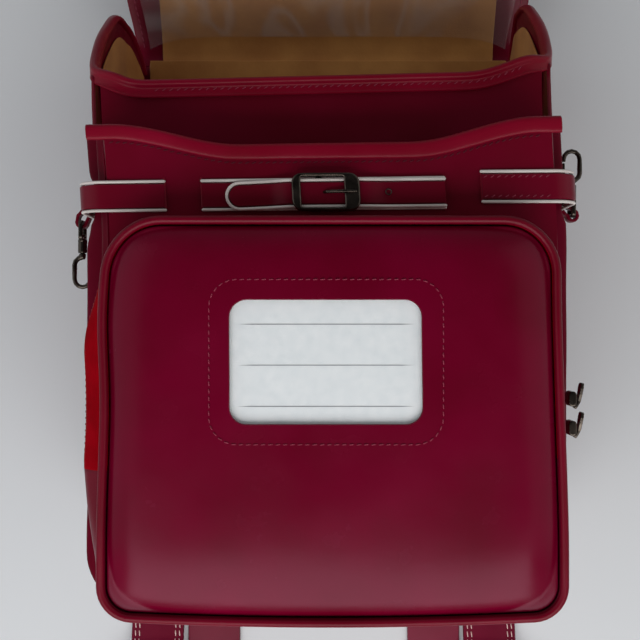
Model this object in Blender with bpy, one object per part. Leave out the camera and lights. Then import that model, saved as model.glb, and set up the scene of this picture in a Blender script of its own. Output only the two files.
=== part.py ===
"""School ransel of crimson leather, lying on its back with its flap laid open.

+X is the bag's right side as it is looked at, +Y points to its top, +Z away from the wearer's back.
Sizes are in millimetres and the meshes in metres. While the bag is modelled, x = 0 is its middle and
y = 0 the middle of its height; the last step moves the origin to the bottom centre of everything.
"""
import math

import bmesh
import bpy
import numpy as np
from mathutils import Vector

MM = 0.001
CLEARANCE = 0.3            # between pieces that touch

BODY_HALF_WIDTH = 121.0
BODY_BOTTOM = -145.0
BACK_TOP = 162.0           # upper end of the back panel, where the flap is sewn on
BODY_CORNER = 24.0
LEATHER = 2.2
LINING = 1.2

STRAP_THICKNESS = 3.7
PAD_THICKNESS = 9.7
PAD_CORNER = 26.0
BACK_THICKNESS = 3.7
MAIN_DEPTH = 109.4
SECOND_DEPTH = 34.0
POCKET_DEPTH = 21.5

MAIN_BULGE = 3.5           # how far the main side walls swell out at half depth
MOUTH_Y = 121.5            # top edge of the main front wall, at its middle
MOUTH_RISE = 12.0          # how far the padded band climbs at the two ends
MOUTH_CLIMB = (0.72, 1.1)  # between these shares of the half width
EAR_HEIGHT = 62.9          # the side walls' ears rise this far above the mouth
EAR_BORDER = 12.0          # leather turned in along the ears, beside the lining
RIM_WIDTH = 9.4
RIM_THICKNESS = 7.0

SECOND_HALF_WIDTH = 117.5
PLEAT_OUT = 5.6
PLEAT_THICKNESS = 1.7
SECOND_MOUTH_Y = 82.7
SECOND_RISE = 11.5
SECOND_CLIMB = (0.36, 0.9)
SECOND_RIM_WIDTH = 6.8
SECOND_RIM_THICKNESS = 6.0

POCKET_X = 1.0             # the pocket sits a little to the right of the bag's middle
POCKET_HALF_WIDTH = 110.0
POCKET_BOTTOM = -146.5     # the filled pocket hangs a little past the body
POCKET_TOP = 48.0
POCKET_TOP_CORNER = 26.0
POCKET_BOTTOM_CORNER = 14.0
POCKET_WALL = 1.7
POCKET_CROWN = 8.0
POCKET_VALLEY = 2.4        # between the panel's edge and the piping
PIPING_RADIUS = 1.8
SLUMP_LEFT = 9.0           # swelling of the pocket's wall on its left side
SLUMP_RIGHT = 2.5
SLUMP_TOP = 2.5
ZIP_END_LEFT = -73.0
ZIP_END_RIGHT = -67.0
TEETH_WIDTH = 4.0
TEETH_HEIGHT = 1.3
SLIDER_YS = (-38.7, -53.1)
SLIDER_SIZE = (4.0, 7.4, 9.0)
PULL_LENGTH = 13.0
PULL_WIDTH = 6.5
PULL_THICKNESS = 1.6
PULL_LEAN = 10.0           # degrees between a resting pull and the bag's height

WINDOW_WIDTH = 93.0
WINDOW_HEIGHT = 60.0
WINDOW_CENTRE_X = -2.1
WINDOW_CENTRE_Y = -20.0
WINDOW_CORNER = 8.5
WINDOW_MARGIN = 2.5        # film and card reach this far behind the leather
WINDOW_BORDER = 10.0       # level leather round the window
FILM_THICKNESS = 0.5
CARD_THICKNESS = 0.8

BELT_Y = 63.7
BELT_RISE_RIGHT = 2.8
BELT_HALF_WIDTH = 5.9
BELT_THICKNESS = 1.8
EDGE_RADIUS = 0.8          # the light piping sewn on the belt's edges
SLITS = (-82.0, -65.5, 58.6, 77.6)
TONGUE_TIP = -51.0
TONGUE_HALF_WIDTH = 5.5
TONGUE_THICKNESS = 1.6
BUCKLE_WIDTH = 34.0
BUCKLE_HEIGHT = 19.0
BUCKLE_LEFT = -18.0
LEFT_BAR = 4.6
RIGHT_BAR = 7.8
CENTRE_BAR = 2.4
BAR_THICKNESS = 1.9
PRONG_RADIUS = 1.0
HOLE_PITCH = 32.0
TONGUE_RAMP = (12.0, 16.0)  # over these lengths the tongue climbs before the buckle and falls after it
HOLE_RADIUS = 1.7

HOOK_Z = 115.0
HOOK_OUT = 8.1             # hook's axis from the outside of the side belt
HOOK_DROP = {"left": 13.8, "right": 5.5}    # middle of the eye below the middle of its belt
WIRE_RADIUS = 1.3
HOOK_INNER_WIDTH = 6.2
HOOK_LENGTH = 20.0
BARREL_RADIUS = 2.6
BARREL_LENGTH = 7.0
BORE_RADIUS = 1.5
EYE_WIDTH = 12.0
EYE_HEIGHT = 11.0
EYE_THICKNESS = 2.4
TAB_THICKNESS = 1.8
TAB_WIDTH = 7.0

FLAP_LENGTH = 500.0
FLAP_HALF_WIDTH = 127.0
FLAP_ARCH = 40.0           # height of the flap's hump behind the hinge
FLAP_TAN_HALF_WIDTH = 105.5
FLAP_SEAM = 8.0            # the clear pocket's seam, from the flap's edge
FLAP_LINING = 1.0
FLAP_LINING_START = 4.0    # from the hinge along the flap
CLEAR_POCKET_START = 11.2
FILM_POCKET = 0.5

STRAP_WIDTH = 34.0
STRAP_LOOP_Y = -250.0
STRAP_LOOP_RADIUS = 13.0
STRAP_TOP_Y = 95.0
STRAP_END_Y = -112.0
BRACKET_LENGTH = 40.0
ANCHOR_LENGTH = 32.0
ANCHOR_WIDTH = 24.0
STRAP_LINES = {            # shares of the half width: at the bracket, below the bag, and coming back
    "left": (-0.364, -0.612, -0.913),
    "right": (0.364, 0.570, 0.868),
}
LOCK_SIZE = (36.0, 8.0, 28.0)
LOCK_PLATE_SIZE = (30.0, 38.0, 2.0)

LEAN_LEFT = 4.5            # the soft body has settled to its left by this much
LEAN_TURN = 0.025          # and its right side stands this share of x higher

PAD_BOTTOM_Z = STRAP_THICKNESS + CLEARANCE + 0.3
BACK_Z = PAD_BOTTOM_Z + PAD_THICKNESS + CLEARANCE
BACK_FACE = BACK_Z + BACK_THICKNESS
MAIN_Z = BACK_FACE + CLEARANCE
MAIN_TOP_Z = MAIN_Z + MAIN_DEPTH
FRONT_Z = MAIN_TOP_Z + CLEARANCE
FRONT_FACE = FRONT_Z + LEATHER
SECOND_Z = FRONT_FACE + CLEARANCE
SECOND_TOP_Z = SECOND_Z + SECOND_DEPTH
WALL_Z = SECOND_TOP_Z + CLEARANCE
WALL_FACE = WALL_Z + LEATHER
POCKET_Z = WALL_FACE + CLEARANCE
POCKET_TOP_Z = POCKET_Z + POCKET_DEPTH
BELT_Z = WALL_FACE + CLEARANCE
SLIDER_SEAT = CLEARANCE + 0.1
BELT_OUTSIDE = BODY_HALF_WIDTH + MAIN_BULGE + CLEARANCE + BELT_THICKNESS

# share of the depth, share of the ear's height at which the side wall ends
EARS = (
    (0.0, 0.54), (0.06, 0.68), (0.12, 0.83), (0.20, 0.97), (0.29, 1.0),
    (0.40, 0.99), (0.58, 0.83), (0.74, 0.62), (0.88, 0.39), (1.0, 0.20),
)
# heights of the side walls' points, as shares of the back panel's top
SIDE_LEVELS = (0.53, 0.42, 0.30, 0.18, -0.12, -0.45)
# share of the pocket's depth, share of its wall's swelling
POCKET_LEVELS = ((0.0, 0.0), (0.2, 0.62), (0.42, 1.0), (0.58, 1.0), (0.8, 0.62), (1.0, 0.0))
# share of the flap's length, share of its half width, share of the hump's height
FLAP_SECTIONS = (
    (0.0, 0.953, 0.0), (0.012, 0.955, 0.02), (0.03, 0.96, 0.19), (0.05, 0.97, 0.42), (0.07, 0.985, 0.60),
    (0.095, 1.0, 0.78), (0.13, 1.0, 0.88), (0.17, 1.0, 0.82), (0.21, 1.0, 0.58), (0.26, 1.0, 0.26),
    (0.31, 1.0, 0.07), (0.36, 1.0, 0.0), (0.58, 1.0, 0.0), (0.78, 1.0, 0.0), (0.82, 0.975, 0.0),
    (0.85, 0.90, 0.0), (0.87, 0.72, 0.0), (0.88, 0.36, 0.0), (0.90, 0.29, 0.0), (0.975, 0.27, 0.0),
    (1.0, 0.17, 0.0),
)

COLOURS = {                # colour, roughness, metallic
    "leather": ((0.115, 0.006, 0.016, 1.0), 0.38, 0.0),
    "leather_inside": ((0.16, 0.012, 0.03, 1.0), 0.45, 0.0),
    "lining_tan": ((0.32, 0.15, 0.05, 1.0), 0.8, 0.0),
    "zip_red": ((0.34, 0.004, 0.012, 1.0), 0.8, 0.0),
    "edge_white": ((0.62, 0.56, 0.54, 1.0), 0.5, 0.0),
    "gunmetal": ((0.06, 0.052, 0.045, 1.0), 0.35, 0.9),
    "card_white": ((0.72, 0.76, 0.77, 1.0), 0.6, 0.0),
    "clear_film": ((0.85, 0.85, 0.82, 1.0), 0.1, 0.0),
}


def smooth(start, end, value):
    """Smooth step from 0 at start to 1 at end."""
    share = np.clip((value - start) / (end - start), 0.0, 1.0)
    return share * share * (3.0 - 2.0 * share)


def lean(points):
    """Move the soft body as it has settled: more with height along y, nothing at the back panel."""
    x, y, z = np.asarray(points, float).T
    share = smooth(0.2 * BACK_TOP, 0.83 * BACK_TOP, y) * np.clip((z - BACK_FACE) / (0.25 * MAIN_DEPTH), 0, 1)
    return np.column_stack((x - LEAN_LEFT * share, y + LEAN_TURN * x * share, z))


def material(name):
    found = bpy.data.materials.get(name)
    if found:
        return found
    made = bpy.data.materials.new(name)
    made.use_nodes = True
    shader = made.node_tree.nodes["Principled BSDF"]
    colour, roughness, metallic = COLOURS[name]
    shader.inputs["Base Color"].default_value = colour
    shader.inputs["Roughness"].default_value = roughness
    shader.inputs["Metallic"].default_value = metallic
    return made


def add_mesh(name, points, faces, finish, soft=False, axis_at=(0.0, 0.0, 0.0)):
    """One closed mesh object; its origin goes to axis_at."""
    points = np.asarray(points, float).reshape(-1, 3)
    if soft:
        points = lean(points)
    mesh = bpy.data.meshes.new(name)
    mesh.from_pydata(((points - np.array(axis_at)) * MM).tolist(), [], faces)
    work = bmesh.new()
    work.from_mesh(mesh)
    bmesh.ops.recalc_face_normals(work, faces=work.faces)
    work.to_mesh(mesh)
    work.free()
    mesh.shade_smooth()
    mesh.set_sharp_from_angle(angle=math.radians(38))
    mesh.materials.append(material(finish))
    thing = bpy.data.objects.new(name, mesh)
    thing.location = Vector(axis_at) * MM
    bpy.context.scene.collection.objects.link(thing)
    return thing


def loft(name, rings, finish, closed=False, **options):
    """Join rings of equally many points; the last joins the first, or both ends are capped."""
    rings = np.asarray(rings, float)
    count, size = rings.shape[:2]
    faces = []
    for i in range(count if closed else count - 1):
        here, after = i * size, ((i + 1) % count) * size
        for j in range(size):
            k = (j + 1) % size
            faces.append((here + j, here + k, after + k, after + j))
    if not closed:
        faces.append(tuple(range(size)))
        faces.append(tuple((count - 1) * size + j for j in reversed(range(size))))
    return add_mesh(name, rings, faces, finish, **options)


def shell(name, outer, inner, finish, **options):
    """A sheet with thickness: two grids of points joined along their four borders."""
    rows, cols = outer.shape[:2]
    shift = rows * cols
    faces = []
    for i in range(rows - 1):
        for j in range(cols - 1):
            a = i * cols + j
            quad = (a, a + 1, a + cols + 1, a + cols)
            faces.append(quad)
            faces.append(tuple(v + shift for v in reversed(quad)))
    border = [j for j in range(cols)]
    border += [i * cols + cols - 1 for i in range(1, rows)]
    border += [(rows - 1) * cols + j for j in reversed(range(cols - 1))]
    border += [i * cols for i in reversed(range(1, rows - 1))]
    for here, after in zip(border, border[1:] + border[:1]):
        faces.append((here, here + shift, after + shift, after))
    return add_mesh(name, np.concatenate((outer.reshape(-1, 3), inner.reshape(-1, 3))), faces, finish, **options)


def rounded_path(corners, radii, line_steps, arc_steps=5, closed=False):
    """Points and outward directions along a path that runs counterclockwise, with rounded corners."""
    corners = [np.array(c, float) for c in corners]
    count = len(corners)
    starts, arcs = [], []
    for i, corner in enumerate(corners):
        if not closed and i in (0, count - 1):
            starts.append((corner, corner))
            arcs.append(None)
            continue
        before = corner - corners[i - 1]
        after = corners[(i + 1) % count] - corner
        before /= np.linalg.norm(before)
        after /= np.linalg.norm(after)
        turn = math.atan2(before[0] * after[1] - before[1] * after[0], before @ after)
        reach = radii[i] * math.tan(turn / 2)
        centre = corner - before * reach + np.array((-before[1], before[0])) * radii[i]
        first = math.atan2(-before[0], before[1])
        starts.append((corner - before * reach, corner + after * reach))
        arcs.append((centre, first, turn, radii[i]))
    points, normals = [], []
    for i in range(count if closed else count - 1):
        if arcs[i]:
            centre, first, turn, radius = arcs[i]
            for step in range(1, arc_steps):
                angle = first + turn * step / arc_steps
                way = np.array((math.cos(angle), math.sin(angle)))
                points.append(centre + way * radius)
                normals.append(way)
        start, end = starts[i][1], starts[(i + 1) % count][0]
        along = (end - start) / np.linalg.norm(end - start)
        for step in range(line_steps[i] + 1):
            points.append(start + (end - start) * step / line_steps[i])
            normals.append(np.array((along[1], -along[0])))
    return np.array(points), np.array(normals)


def rectangle(x0, x1, y0, y1, radius, steps=1, arc_steps=5, top_radius=None):
    """Closed counterclockwise outline of a rectangle with rounded corners."""
    upper = radius if top_radius is None else top_radius
    corners = ((x0, y0), (x1, y0), (x1, y1), (x0, y1))
    return rounded_path(corners, (radius, radius, upper, upper), (steps,) * 4, arc_steps, closed=True)


def at_height(outline, z):
    return np.column_stack((outline, np.full(len(outline), float(z))))


def plate(name, outline, z0, z1, finish, **options):
    return loft(name, (at_height(outline, z0), at_height(outline, z1)), finish, **options)


def tube(name, path, radius, finish, sides=6, plane=(0, 0, 1), closed=False, **options):
    """Round rod along a path that lies near a plane; radius may change along it."""
    path = np.asarray(path, float)
    radii = np.broadcast_to(np.asarray(radius, float), (len(path),))
    if closed:
        tangents = np.roll(path, -1, axis=0) - np.roll(path, 1, axis=0)
    else:
        tangents = np.gradient(path, axis=0)
    tangents /= np.linalg.norm(tangents, axis=1)[:, None]
    up = np.array(plane, float)
    side = np.cross(tangents, up)
    side /= np.linalg.norm(side, axis=1)[:, None]
    angles = (np.arange(sides) + 0.5) * 2 * math.pi / sides
    rings = [p + r * (np.cos(angles)[:, None] * s + np.sin(angles)[:, None] * up)
             for p, r, s in zip(path, radii, side)]
    return loft(name, rings, finish, closed=closed, **options)


def strip(name, path, half_width, thickness, across, finish, **options):
    """Flat strap along a path; across is the direction of its width."""
    path = np.asarray(path, float)
    across = np.array(across, float)
    tangents = np.gradient(path, axis=0)
    tangents -= (tangents @ across)[:, None] * across
    tangents /= np.linalg.norm(tangents, axis=1)[:, None]
    normal = np.cross(tangents, across)
    halves = np.broadcast_to(np.asarray(half_width, float), (len(path),))
    rings = []
    for p, n, half in zip(path, normal, halves):
        wide, thick = across * half, n * thickness / 2
        rings.append((p - wide - thick, p + wide - thick, p + wide + thick, p - wide + thick))
    return loft(name, rings, finish, **options)


def cut(target, cutters, operation="DIFFERENCE"):
    for cutter in cutters:
        cutter.hide_render = True
        cutter.display_type = "WIRE"
        change = target.modifiers.new(cutter.name, "BOOLEAN")
        change.operation = operation
        change.solver = "EXACT"
        change.object = cutter


def block(name, low, high, finish, corner=0.0, along="z", **options):
    """Box between two corners, with the four edges along one axis rounded."""
    low, high = np.array(low, float), np.array(high, float)
    axis = "xyz".index(along)
    a, b = [k for k in range(3) if k != axis]
    radius = max(corner, 0.05)
    outline, _ = rectangle(low[a], high[a], low[b], high[b], radius, arc_steps=3 if corner else 1)
    rings = []
    for level in (low[axis], high[axis]):
        ring = np.zeros((len(outline), 3))
        ring[:, a], ring[:, b], ring[:, axis] = outline[:, 0], outline[:, 1], level
        rings.append(ring)
    return loft(name, rings, finish, **options)


def wall_band(name, ends, z0, depth, half_width, bottom, corner, profile, thickness, finish):
    """Side walls and bottom in one sheet: down the left side, along the bottom, up the right side.

    profile has a row for each level: share of the depth, distance outwards. ends gives the walls' y there.
    The sides' points stand at the same heights in every wall, so that neighbours lean alike.
    """
    levels = np.array(SIDE_LEVELS) * BACK_TOP
    outer, inner = [], []
    for (share, out), end in zip(profile, ends):
        corners = ((-half_width, end), (-half_width, bottom), (half_width, bottom), (half_width, end))
        path, normals = rounded_path(corners, (0, corner, corner, 0), (len(levels) + 1, 4, len(levels) + 1))
        path[1:len(levels) + 1, 1] = levels
        path[-len(levels) - 1:-1, 1] = levels[::-1]
        z = z0 + depth * share
        outer.append(at_height(path + normals * out, z))
        inner.append(at_height(path + normals * (out - thickness), z))
    return shell(name, np.array(outer), np.array(inner), finish, soft=True)


def make_back():
    outline, _ = rectangle(-BODY_HALF_WIDTH, BODY_HALF_WIDTH, BODY_BOTTOM, BACK_TOP, BODY_CORNER, top_radius=8.0)
    plate("back_panel", outline, BACK_Z, BACK_FACE, "leather")
    rings = []
    for inset, share in ((12.0, 0.0), (4.0, 0.22), (0.0, 0.6), (2.0, 1.0)):
        edge = 7.0 + inset
        ring, _ = rectangle(edge - BODY_HALF_WIDTH, BODY_HALF_WIDTH - edge, BODY_BOTTOM + edge,
                            BACK_TOP - edge, PAD_CORNER)
        rings.append(at_height(ring, PAD_BOTTOM_Z + share * PAD_THICKNESS))
    loft("back_pad", rings, "leather_inside")


def make_main():
    shares = [row[0] for row in EARS]
    ends = np.array([MOUTH_Y + EAR_HEIGHT * row[1] for row in EARS])
    swell = [MAIN_BULGE * (1.0 - abs(2 * share - 1.0) ** 3) for share in shares]
    wall_band("main_gusset", ends, MAIN_Z, MAIN_DEPTH, BODY_HALF_WIDTH, BODY_BOTTOM, BODY_CORNER,
              list(zip(shares, swell)), LEATHER, "leather")
    inset = LEATHER + 2 * CLEARANCE
    lift = LINING + CLEARANCE
    lining_depth = MAIN_DEPTH - lift
    lining_shares = [(share * lining_depth + lift) / MAIN_DEPTH for share in shares]
    lining_swell = np.interp(lining_shares, shares, swell)
    lining_ends = np.interp(lining_shares, shares, ends) - EAR_BORDER
    wall_band("lining_sides", lining_ends, MAIN_Z + lift, lining_depth, BODY_HALF_WIDTH - inset,
              BODY_BOTTOM + inset, BODY_CORNER - inset, list(zip(shares, lining_swell)), LINING, "lining_tan")
    outline, _ = rectangle(inset - BODY_HALF_WIDTH, BODY_HALF_WIDTH - inset, BODY_BOTTOM + inset,
                           BACK_TOP + 3.0, BODY_CORNER - inset, top_radius=4.0)
    plate("lining_back", outline, MAIN_Z, MAIN_Z + LINING, "lining_tan")


def mouth_path(half_width, middle, rise, climb, count=21):
    """Centre line of a rolled edge across the bag: level in the middle, climbing towards the sides.

    climb holds the shares of the half width between which the line climbs.
    """
    x = np.linspace(-half_width, half_width, count)
    start, end = climb
    return x, middle + rise * smooth(start, end, np.abs(x) / half_width) / smooth(start, end, 1.0)


def below(x, y, distance):
    """A line that keeps a distance under a climbing one."""
    slope = np.gradient(y, x)
    return y - distance * np.sqrt(1.0 + slope * slope)


def wall_with_mouth(name, half_width, corner, x, y, z0, z1):
    """Flat wall whose upper edge follows a rolled edge's underside."""
    end = float(np.interp(half_width, x, y))
    lower, _ = rounded_path(((-half_width, end), (-half_width, BODY_BOTTOM), (half_width, BODY_BOTTOM),
                             (half_width, end)), (0, corner, corner, 0), (4, 3, 4))
    inside = np.abs(x) < half_width - 1.0
    upper = np.column_stack((x[inside], y[inside]))[::-1]
    plate(name, np.concatenate((lower, upper)), z0, z1, "leather", soft=True)


def rolled_edge(name, x, y, z, width, thickness, sides=8):
    """Padded roll with an oval section, closed at its ends."""
    path = np.column_stack((x, y, np.full(len(x), z)))
    tangents = np.gradient(path, axis=0)
    tangents /= np.linalg.norm(tangents, axis=1)[:, None]
    side = np.cross(tangents, (0, 0, 1))
    angles = (np.arange(sides) + 0.5) * 2 * math.pi / sides
    fade = 1.0 - 0.35 * smooth(0.93, 1.0, np.abs(x) / np.abs(x).max())
    rings = [p + f * (np.cos(angles)[:, None] * s * width / 2
                      + np.sin(angles)[:, None] * np.array((0, 0, thickness / 2)))
             for p, s, f in zip(path, side, fade)]
    loft(name, rings, "leather", soft=True)


def make_fronts():
    x, y = mouth_path(BODY_HALF_WIDTH - 1.5, MOUTH_Y + RIM_WIDTH / 2, MOUTH_RISE, MOUTH_CLIMB)
    rolled_edge("main_rim", x, y, FRONT_Z + RIM_THICKNESS / 2, RIM_WIDTH, RIM_THICKNESS)
    under_rim = below(x, y, RIM_WIDTH / 2 + 2 * CLEARANCE)
    wall_with_mouth("main_front_wall", BODY_HALF_WIDTH, BODY_CORNER, x, under_rim, FRONT_Z, FRONT_FACE)

    x, y = mouth_path(SECOND_HALF_WIDTH + PLEAT_OUT * 0.6, SECOND_MOUTH_Y + SECOND_RIM_WIDTH / 2, SECOND_RISE,
                      SECOND_CLIMB)
    rolled_edge("second_rim", x, y, WALL_FACE - 1.2, SECOND_RIM_WIDTH, SECOND_RIM_THICKNESS)
    under_rim = below(x, y, SECOND_RIM_WIDTH / 2 + 2 * CLEARANCE)
    wall_with_mouth("second_wall", SECOND_HALF_WIDTH - 3.0, BODY_CORNER - 4.0, x, under_rim, WALL_Z, WALL_FACE)
    profile = [(0.0, 0.0), (0.13, 0.5), (0.27, 1.0), (0.40, 0.75), (0.50, 0.12), (0.60, 0.75), (0.74, 1.0),
               (0.88, 0.5), (1.0, -0.45)]
    profile = [(share, out * PLEAT_OUT) for share, out in profile]
    wall_band("second_gusset", [under_rim[0] - 1.0] * len(profile), SECOND_Z, SECOND_DEPTH,
              SECOND_HALF_WIDTH, BODY_BOTTOM + 1.5, BODY_CORNER - 3.0, profile, PLEAT_THICKNESS, "leather")


def pocket_slump(points):
    """How far the pocket's wall swells at each point of its path."""
    x, y = points.T
    left = SLUMP_LEFT * smooth(0.5, 0.95, -x / POCKET_HALF_WIDTH)
    right = SLUMP_RIGHT * smooth(0.5, 0.95, x / POCKET_HALF_WIDTH)
    low = 1.0 - 0.75 * smooth(0.45, 0.95, y / POCKET_BOTTOM)
    high = 1.0 - smooth(0.3, 1.0, y / POCKET_TOP)
    return SLUMP_TOP * 0.5 + (left + right) * low * (0.35 + 0.65 * high) + SLUMP_TOP * 0.5 * (1 - high)


def on_pocket(outline, z):
    """An outline round the pocket's middle, at its height on the bag."""
    return at_height(outline + np.array((POCKET_X, 0.0)), z)


def pocket_wall(name, path, normals, finish):
    slump = pocket_slump(path)[:, None]
    outer, inner = [], []
    for share, out in POCKET_LEVELS:
        z = POCKET_Z + POCKET_DEPTH * share
        outer.append(on_pocket(path + normals * slump * out, z))
        inner.append(on_pocket(path + normals * (slump * out - POCKET_WALL), z))
    shell(name, np.array(outer), np.array(inner), finish)


def zip_path():
    half, top, corner = POCKET_HALF_WIDTH, POCKET_TOP, POCKET_TOP_CORNER
    corners = ((half, ZIP_END_RIGHT), (half, top), (-half, top), (-half, ZIP_END_LEFT))
    return rounded_path(corners, (0, corner, corner, 0), (7, 3, 7))


def panel_height(inset):
    """Crown of the front panel: steep beside the piping, nearly level in the middle."""
    return POCKET_TOP_Z + 0.6 + POCKET_CROWN * (1.0 - np.exp(-np.asarray(inset) / 8.5))


def make_pocket():
    path, normals = zip_path()
    pocket_wall("zip_tape", path, normals, "zip_red")
    half, low, corner = POCKET_HALF_WIDTH, POCKET_BOTTOM, POCKET_BOTTOM_CORNER
    corners = ((-half, ZIP_END_LEFT - CLEARANCE), (-half, low), (half, low), (half, ZIP_END_RIGHT - CLEARANCE))
    lower, lower_normals = rounded_path(corners, (0, corner, corner, 0), (4, 3, 4), arc_steps=4)
    pocket_wall("pocket_gusset", lower, lower_normals, "leather")

    slump = pocket_slump(path)[:, None]
    middle = POCKET_Z + POCKET_DEPTH / 2
    face = path + normals * (slump + CLEARANCE)
    outside = face + normals * TEETH_HEIGHT
    rows = [on_pocket(face, middle - TEETH_WIDTH / 2), on_pocket(face, middle + TEETH_WIDTH / 2)]
    tops = [on_pocket(outside, middle - TEETH_WIDTH / 2), on_pocket(outside, middle + TEETH_WIDTH / 2)]
    shell("zip_teeth", np.array(tops), np.array(rows), "gunmetal")

    ring, ring_normals = rectangle(-half, half, low, POCKET_TOP, corner, 3, 5, POCKET_TOP_CORNER)
    centre = ring - ring_normals * POCKET_WALL / 2
    tube("pocket_piping", on_pocket(centre, POCKET_TOP_Z + CLEARANCE + PIPING_RADIUS), PIPING_RADIUS, "leather",
         closed=True)

    edge = POCKET_WALL / 2 + PIPING_RADIUS + CLEARANCE
    rings = []
    for inset in (0.0, POCKET_VALLEY, 3.0 * POCKET_VALLEY, 6.5 * POCKET_VALLEY):
        away = edge + inset
        line, _ = rectangle(away - half, half - away, low + away, POCKET_TOP - away, max(corner - away, 2.0), 2, 4,
                            max(POCKET_TOP_CORNER - away, 3.0))
        rings.append((line + np.array((POCKET_X, 0.0)), panel_height(inset)))
    for margin in (WINDOW_BORDER, 0.0):
        line = window_outline(margin, steps=2, arc_steps=4)
        inset = POCKET_HALF_WIDTH - WINDOW_WIDTH / 2 - edge - margin
        rings.append((line, panel_height(inset)))
    upper = [at_height(line, height) for line, height in rings]
    under = [at_height(line, height - POCKET_WALL) for line, height in rings]
    loft("pocket_front", upper + under[::-1], "leather", closed=True)


def window_outline(margin, steps=1, arc_steps=4):
    half_width, half_height = WINDOW_WIDTH / 2 + margin, WINDOW_HEIGHT / 2 + margin
    line, _ = rectangle(WINDOW_CENTRE_X - half_width, WINDOW_CENTRE_X + half_width,
                        WINDOW_CENTRE_Y - half_height, WINDOW_CENTRE_Y + half_height,
                        WINDOW_CORNER + margin / 2, steps, arc_steps)
    return line


def make_window():
    inset = POCKET_HALF_WIDTH - WINDOW_WIDTH / 2 - WINDOW_BORDER - 2 * PIPING_RADIUS
    film_top = float(panel_height(inset)) - POCKET_WALL - CLEARANCE
    outline = window_outline(WINDOW_MARGIN)
    plate("window_film", outline, film_top - FILM_THICKNESS, film_top, "clear_film")
    card_top = film_top - FILM_THICKNESS - CLEARANCE
    plate("name_card", outline, card_top - CARD_THICKNESS, card_top, "card_white")


def side_belt_path(side):
    """From the slit across the second wall, round its edge and back along the side, in the XZ plane."""
    slit = SLITS[0] if side < 0 else SLITS[3]
    level = BELT_Z + BELT_THICKNESS / 2
    out = BELT_OUTSIDE - BELT_THICKNESS / 2
    turn = out - (SECOND_HALF_WIDTH - 3.0)
    path = [(abs(slit), level), (0.5 * (abs(slit) + out - turn), level)]
    for step in range(6):
        angle = math.radians(90 - 18 * step)
        path.append((out - turn + turn * math.cos(angle), level - turn + turn * math.sin(angle)))
    path.append((out, 0.6 * MAIN_TOP_Z))
    path.append((out, MAIN_Z + 0.28 * MAIN_DEPTH))
    path.append((out - 0.5 * MAIN_BULGE, MAIN_Z + 0.08 * MAIN_DEPTH))
    path.append((out - 0.9 * MAIN_BULGE, MAIN_Z))
    return [(side * x, z) for x, z in path]


def belt_centre_y(side):
    return BELT_Y + (BELT_RISE_RIGHT if side > 0 else 0.0)


def edged_belt(name, path, half_width, thickness, soft=True):
    """Leather strip with a light piping along each edge; path holds points in bag coordinates."""
    path = np.array(path, float)
    strip(name, path, half_width, thickness, (0, 1, 0), "leather", soft=soft)
    for edge, sign in (("top", 1), ("bottom", -1)):
        shift = np.array((0, sign * (half_width + CLEARANCE + EDGE_RADIUS), 0))
        tube(name + "_edge_" + edge, path + shift, EDGE_RADIUS, "edge_white", plane=(0, 1, 0), soft=soft)


def make_belts():
    for name, side in (("belt_left", -1), ("belt_right", 1)):
        y = belt_centre_y(side)
        edged_belt(name, [(x, y, z) for x, z in side_belt_path(side)], BELT_HALF_WIDTH, BELT_THICKNESS)
    level = BELT_Z + BELT_THICKNESS / 2
    middle = [(x, BELT_Y, level) for x in (SLITS[1], 0.5 * (SLITS[1] + SLITS[2]), SLITS[2])]
    edged_belt("belt_center", middle, BELT_HALF_WIDTH, BELT_THICKNESS)


def tongue_height(x):
    """Middle of the tongue: on the belt, and lifted over the buckle's centre bar."""
    low = BELT_Z + BELT_THICKNESS + CLEARANCE + TONGUE_THICKNESS / 2
    high = bar_level() + BAR_THICKNESS + CLEARANCE + TONGUE_THICKNESS / 2
    right = BUCKLE_LEFT + BUCKLE_WIDTH
    up, down = TONGUE_RAMP
    share = smooth(BUCKLE_LEFT - up, BUCKLE_LEFT, x) * (1.0 - smooth(right, right + down, x))
    return low + (high - low) * share


def bar_level():
    """Underside of the buckle, on the belt."""
    return BELT_Z + BELT_THICKNESS + CLEARANCE


def centre_bar_x():
    return BUCKLE_LEFT + LEFT_BAR + 0.42 * (BUCKLE_WIDTH - LEFT_BAR - RIGHT_BAR)


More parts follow.
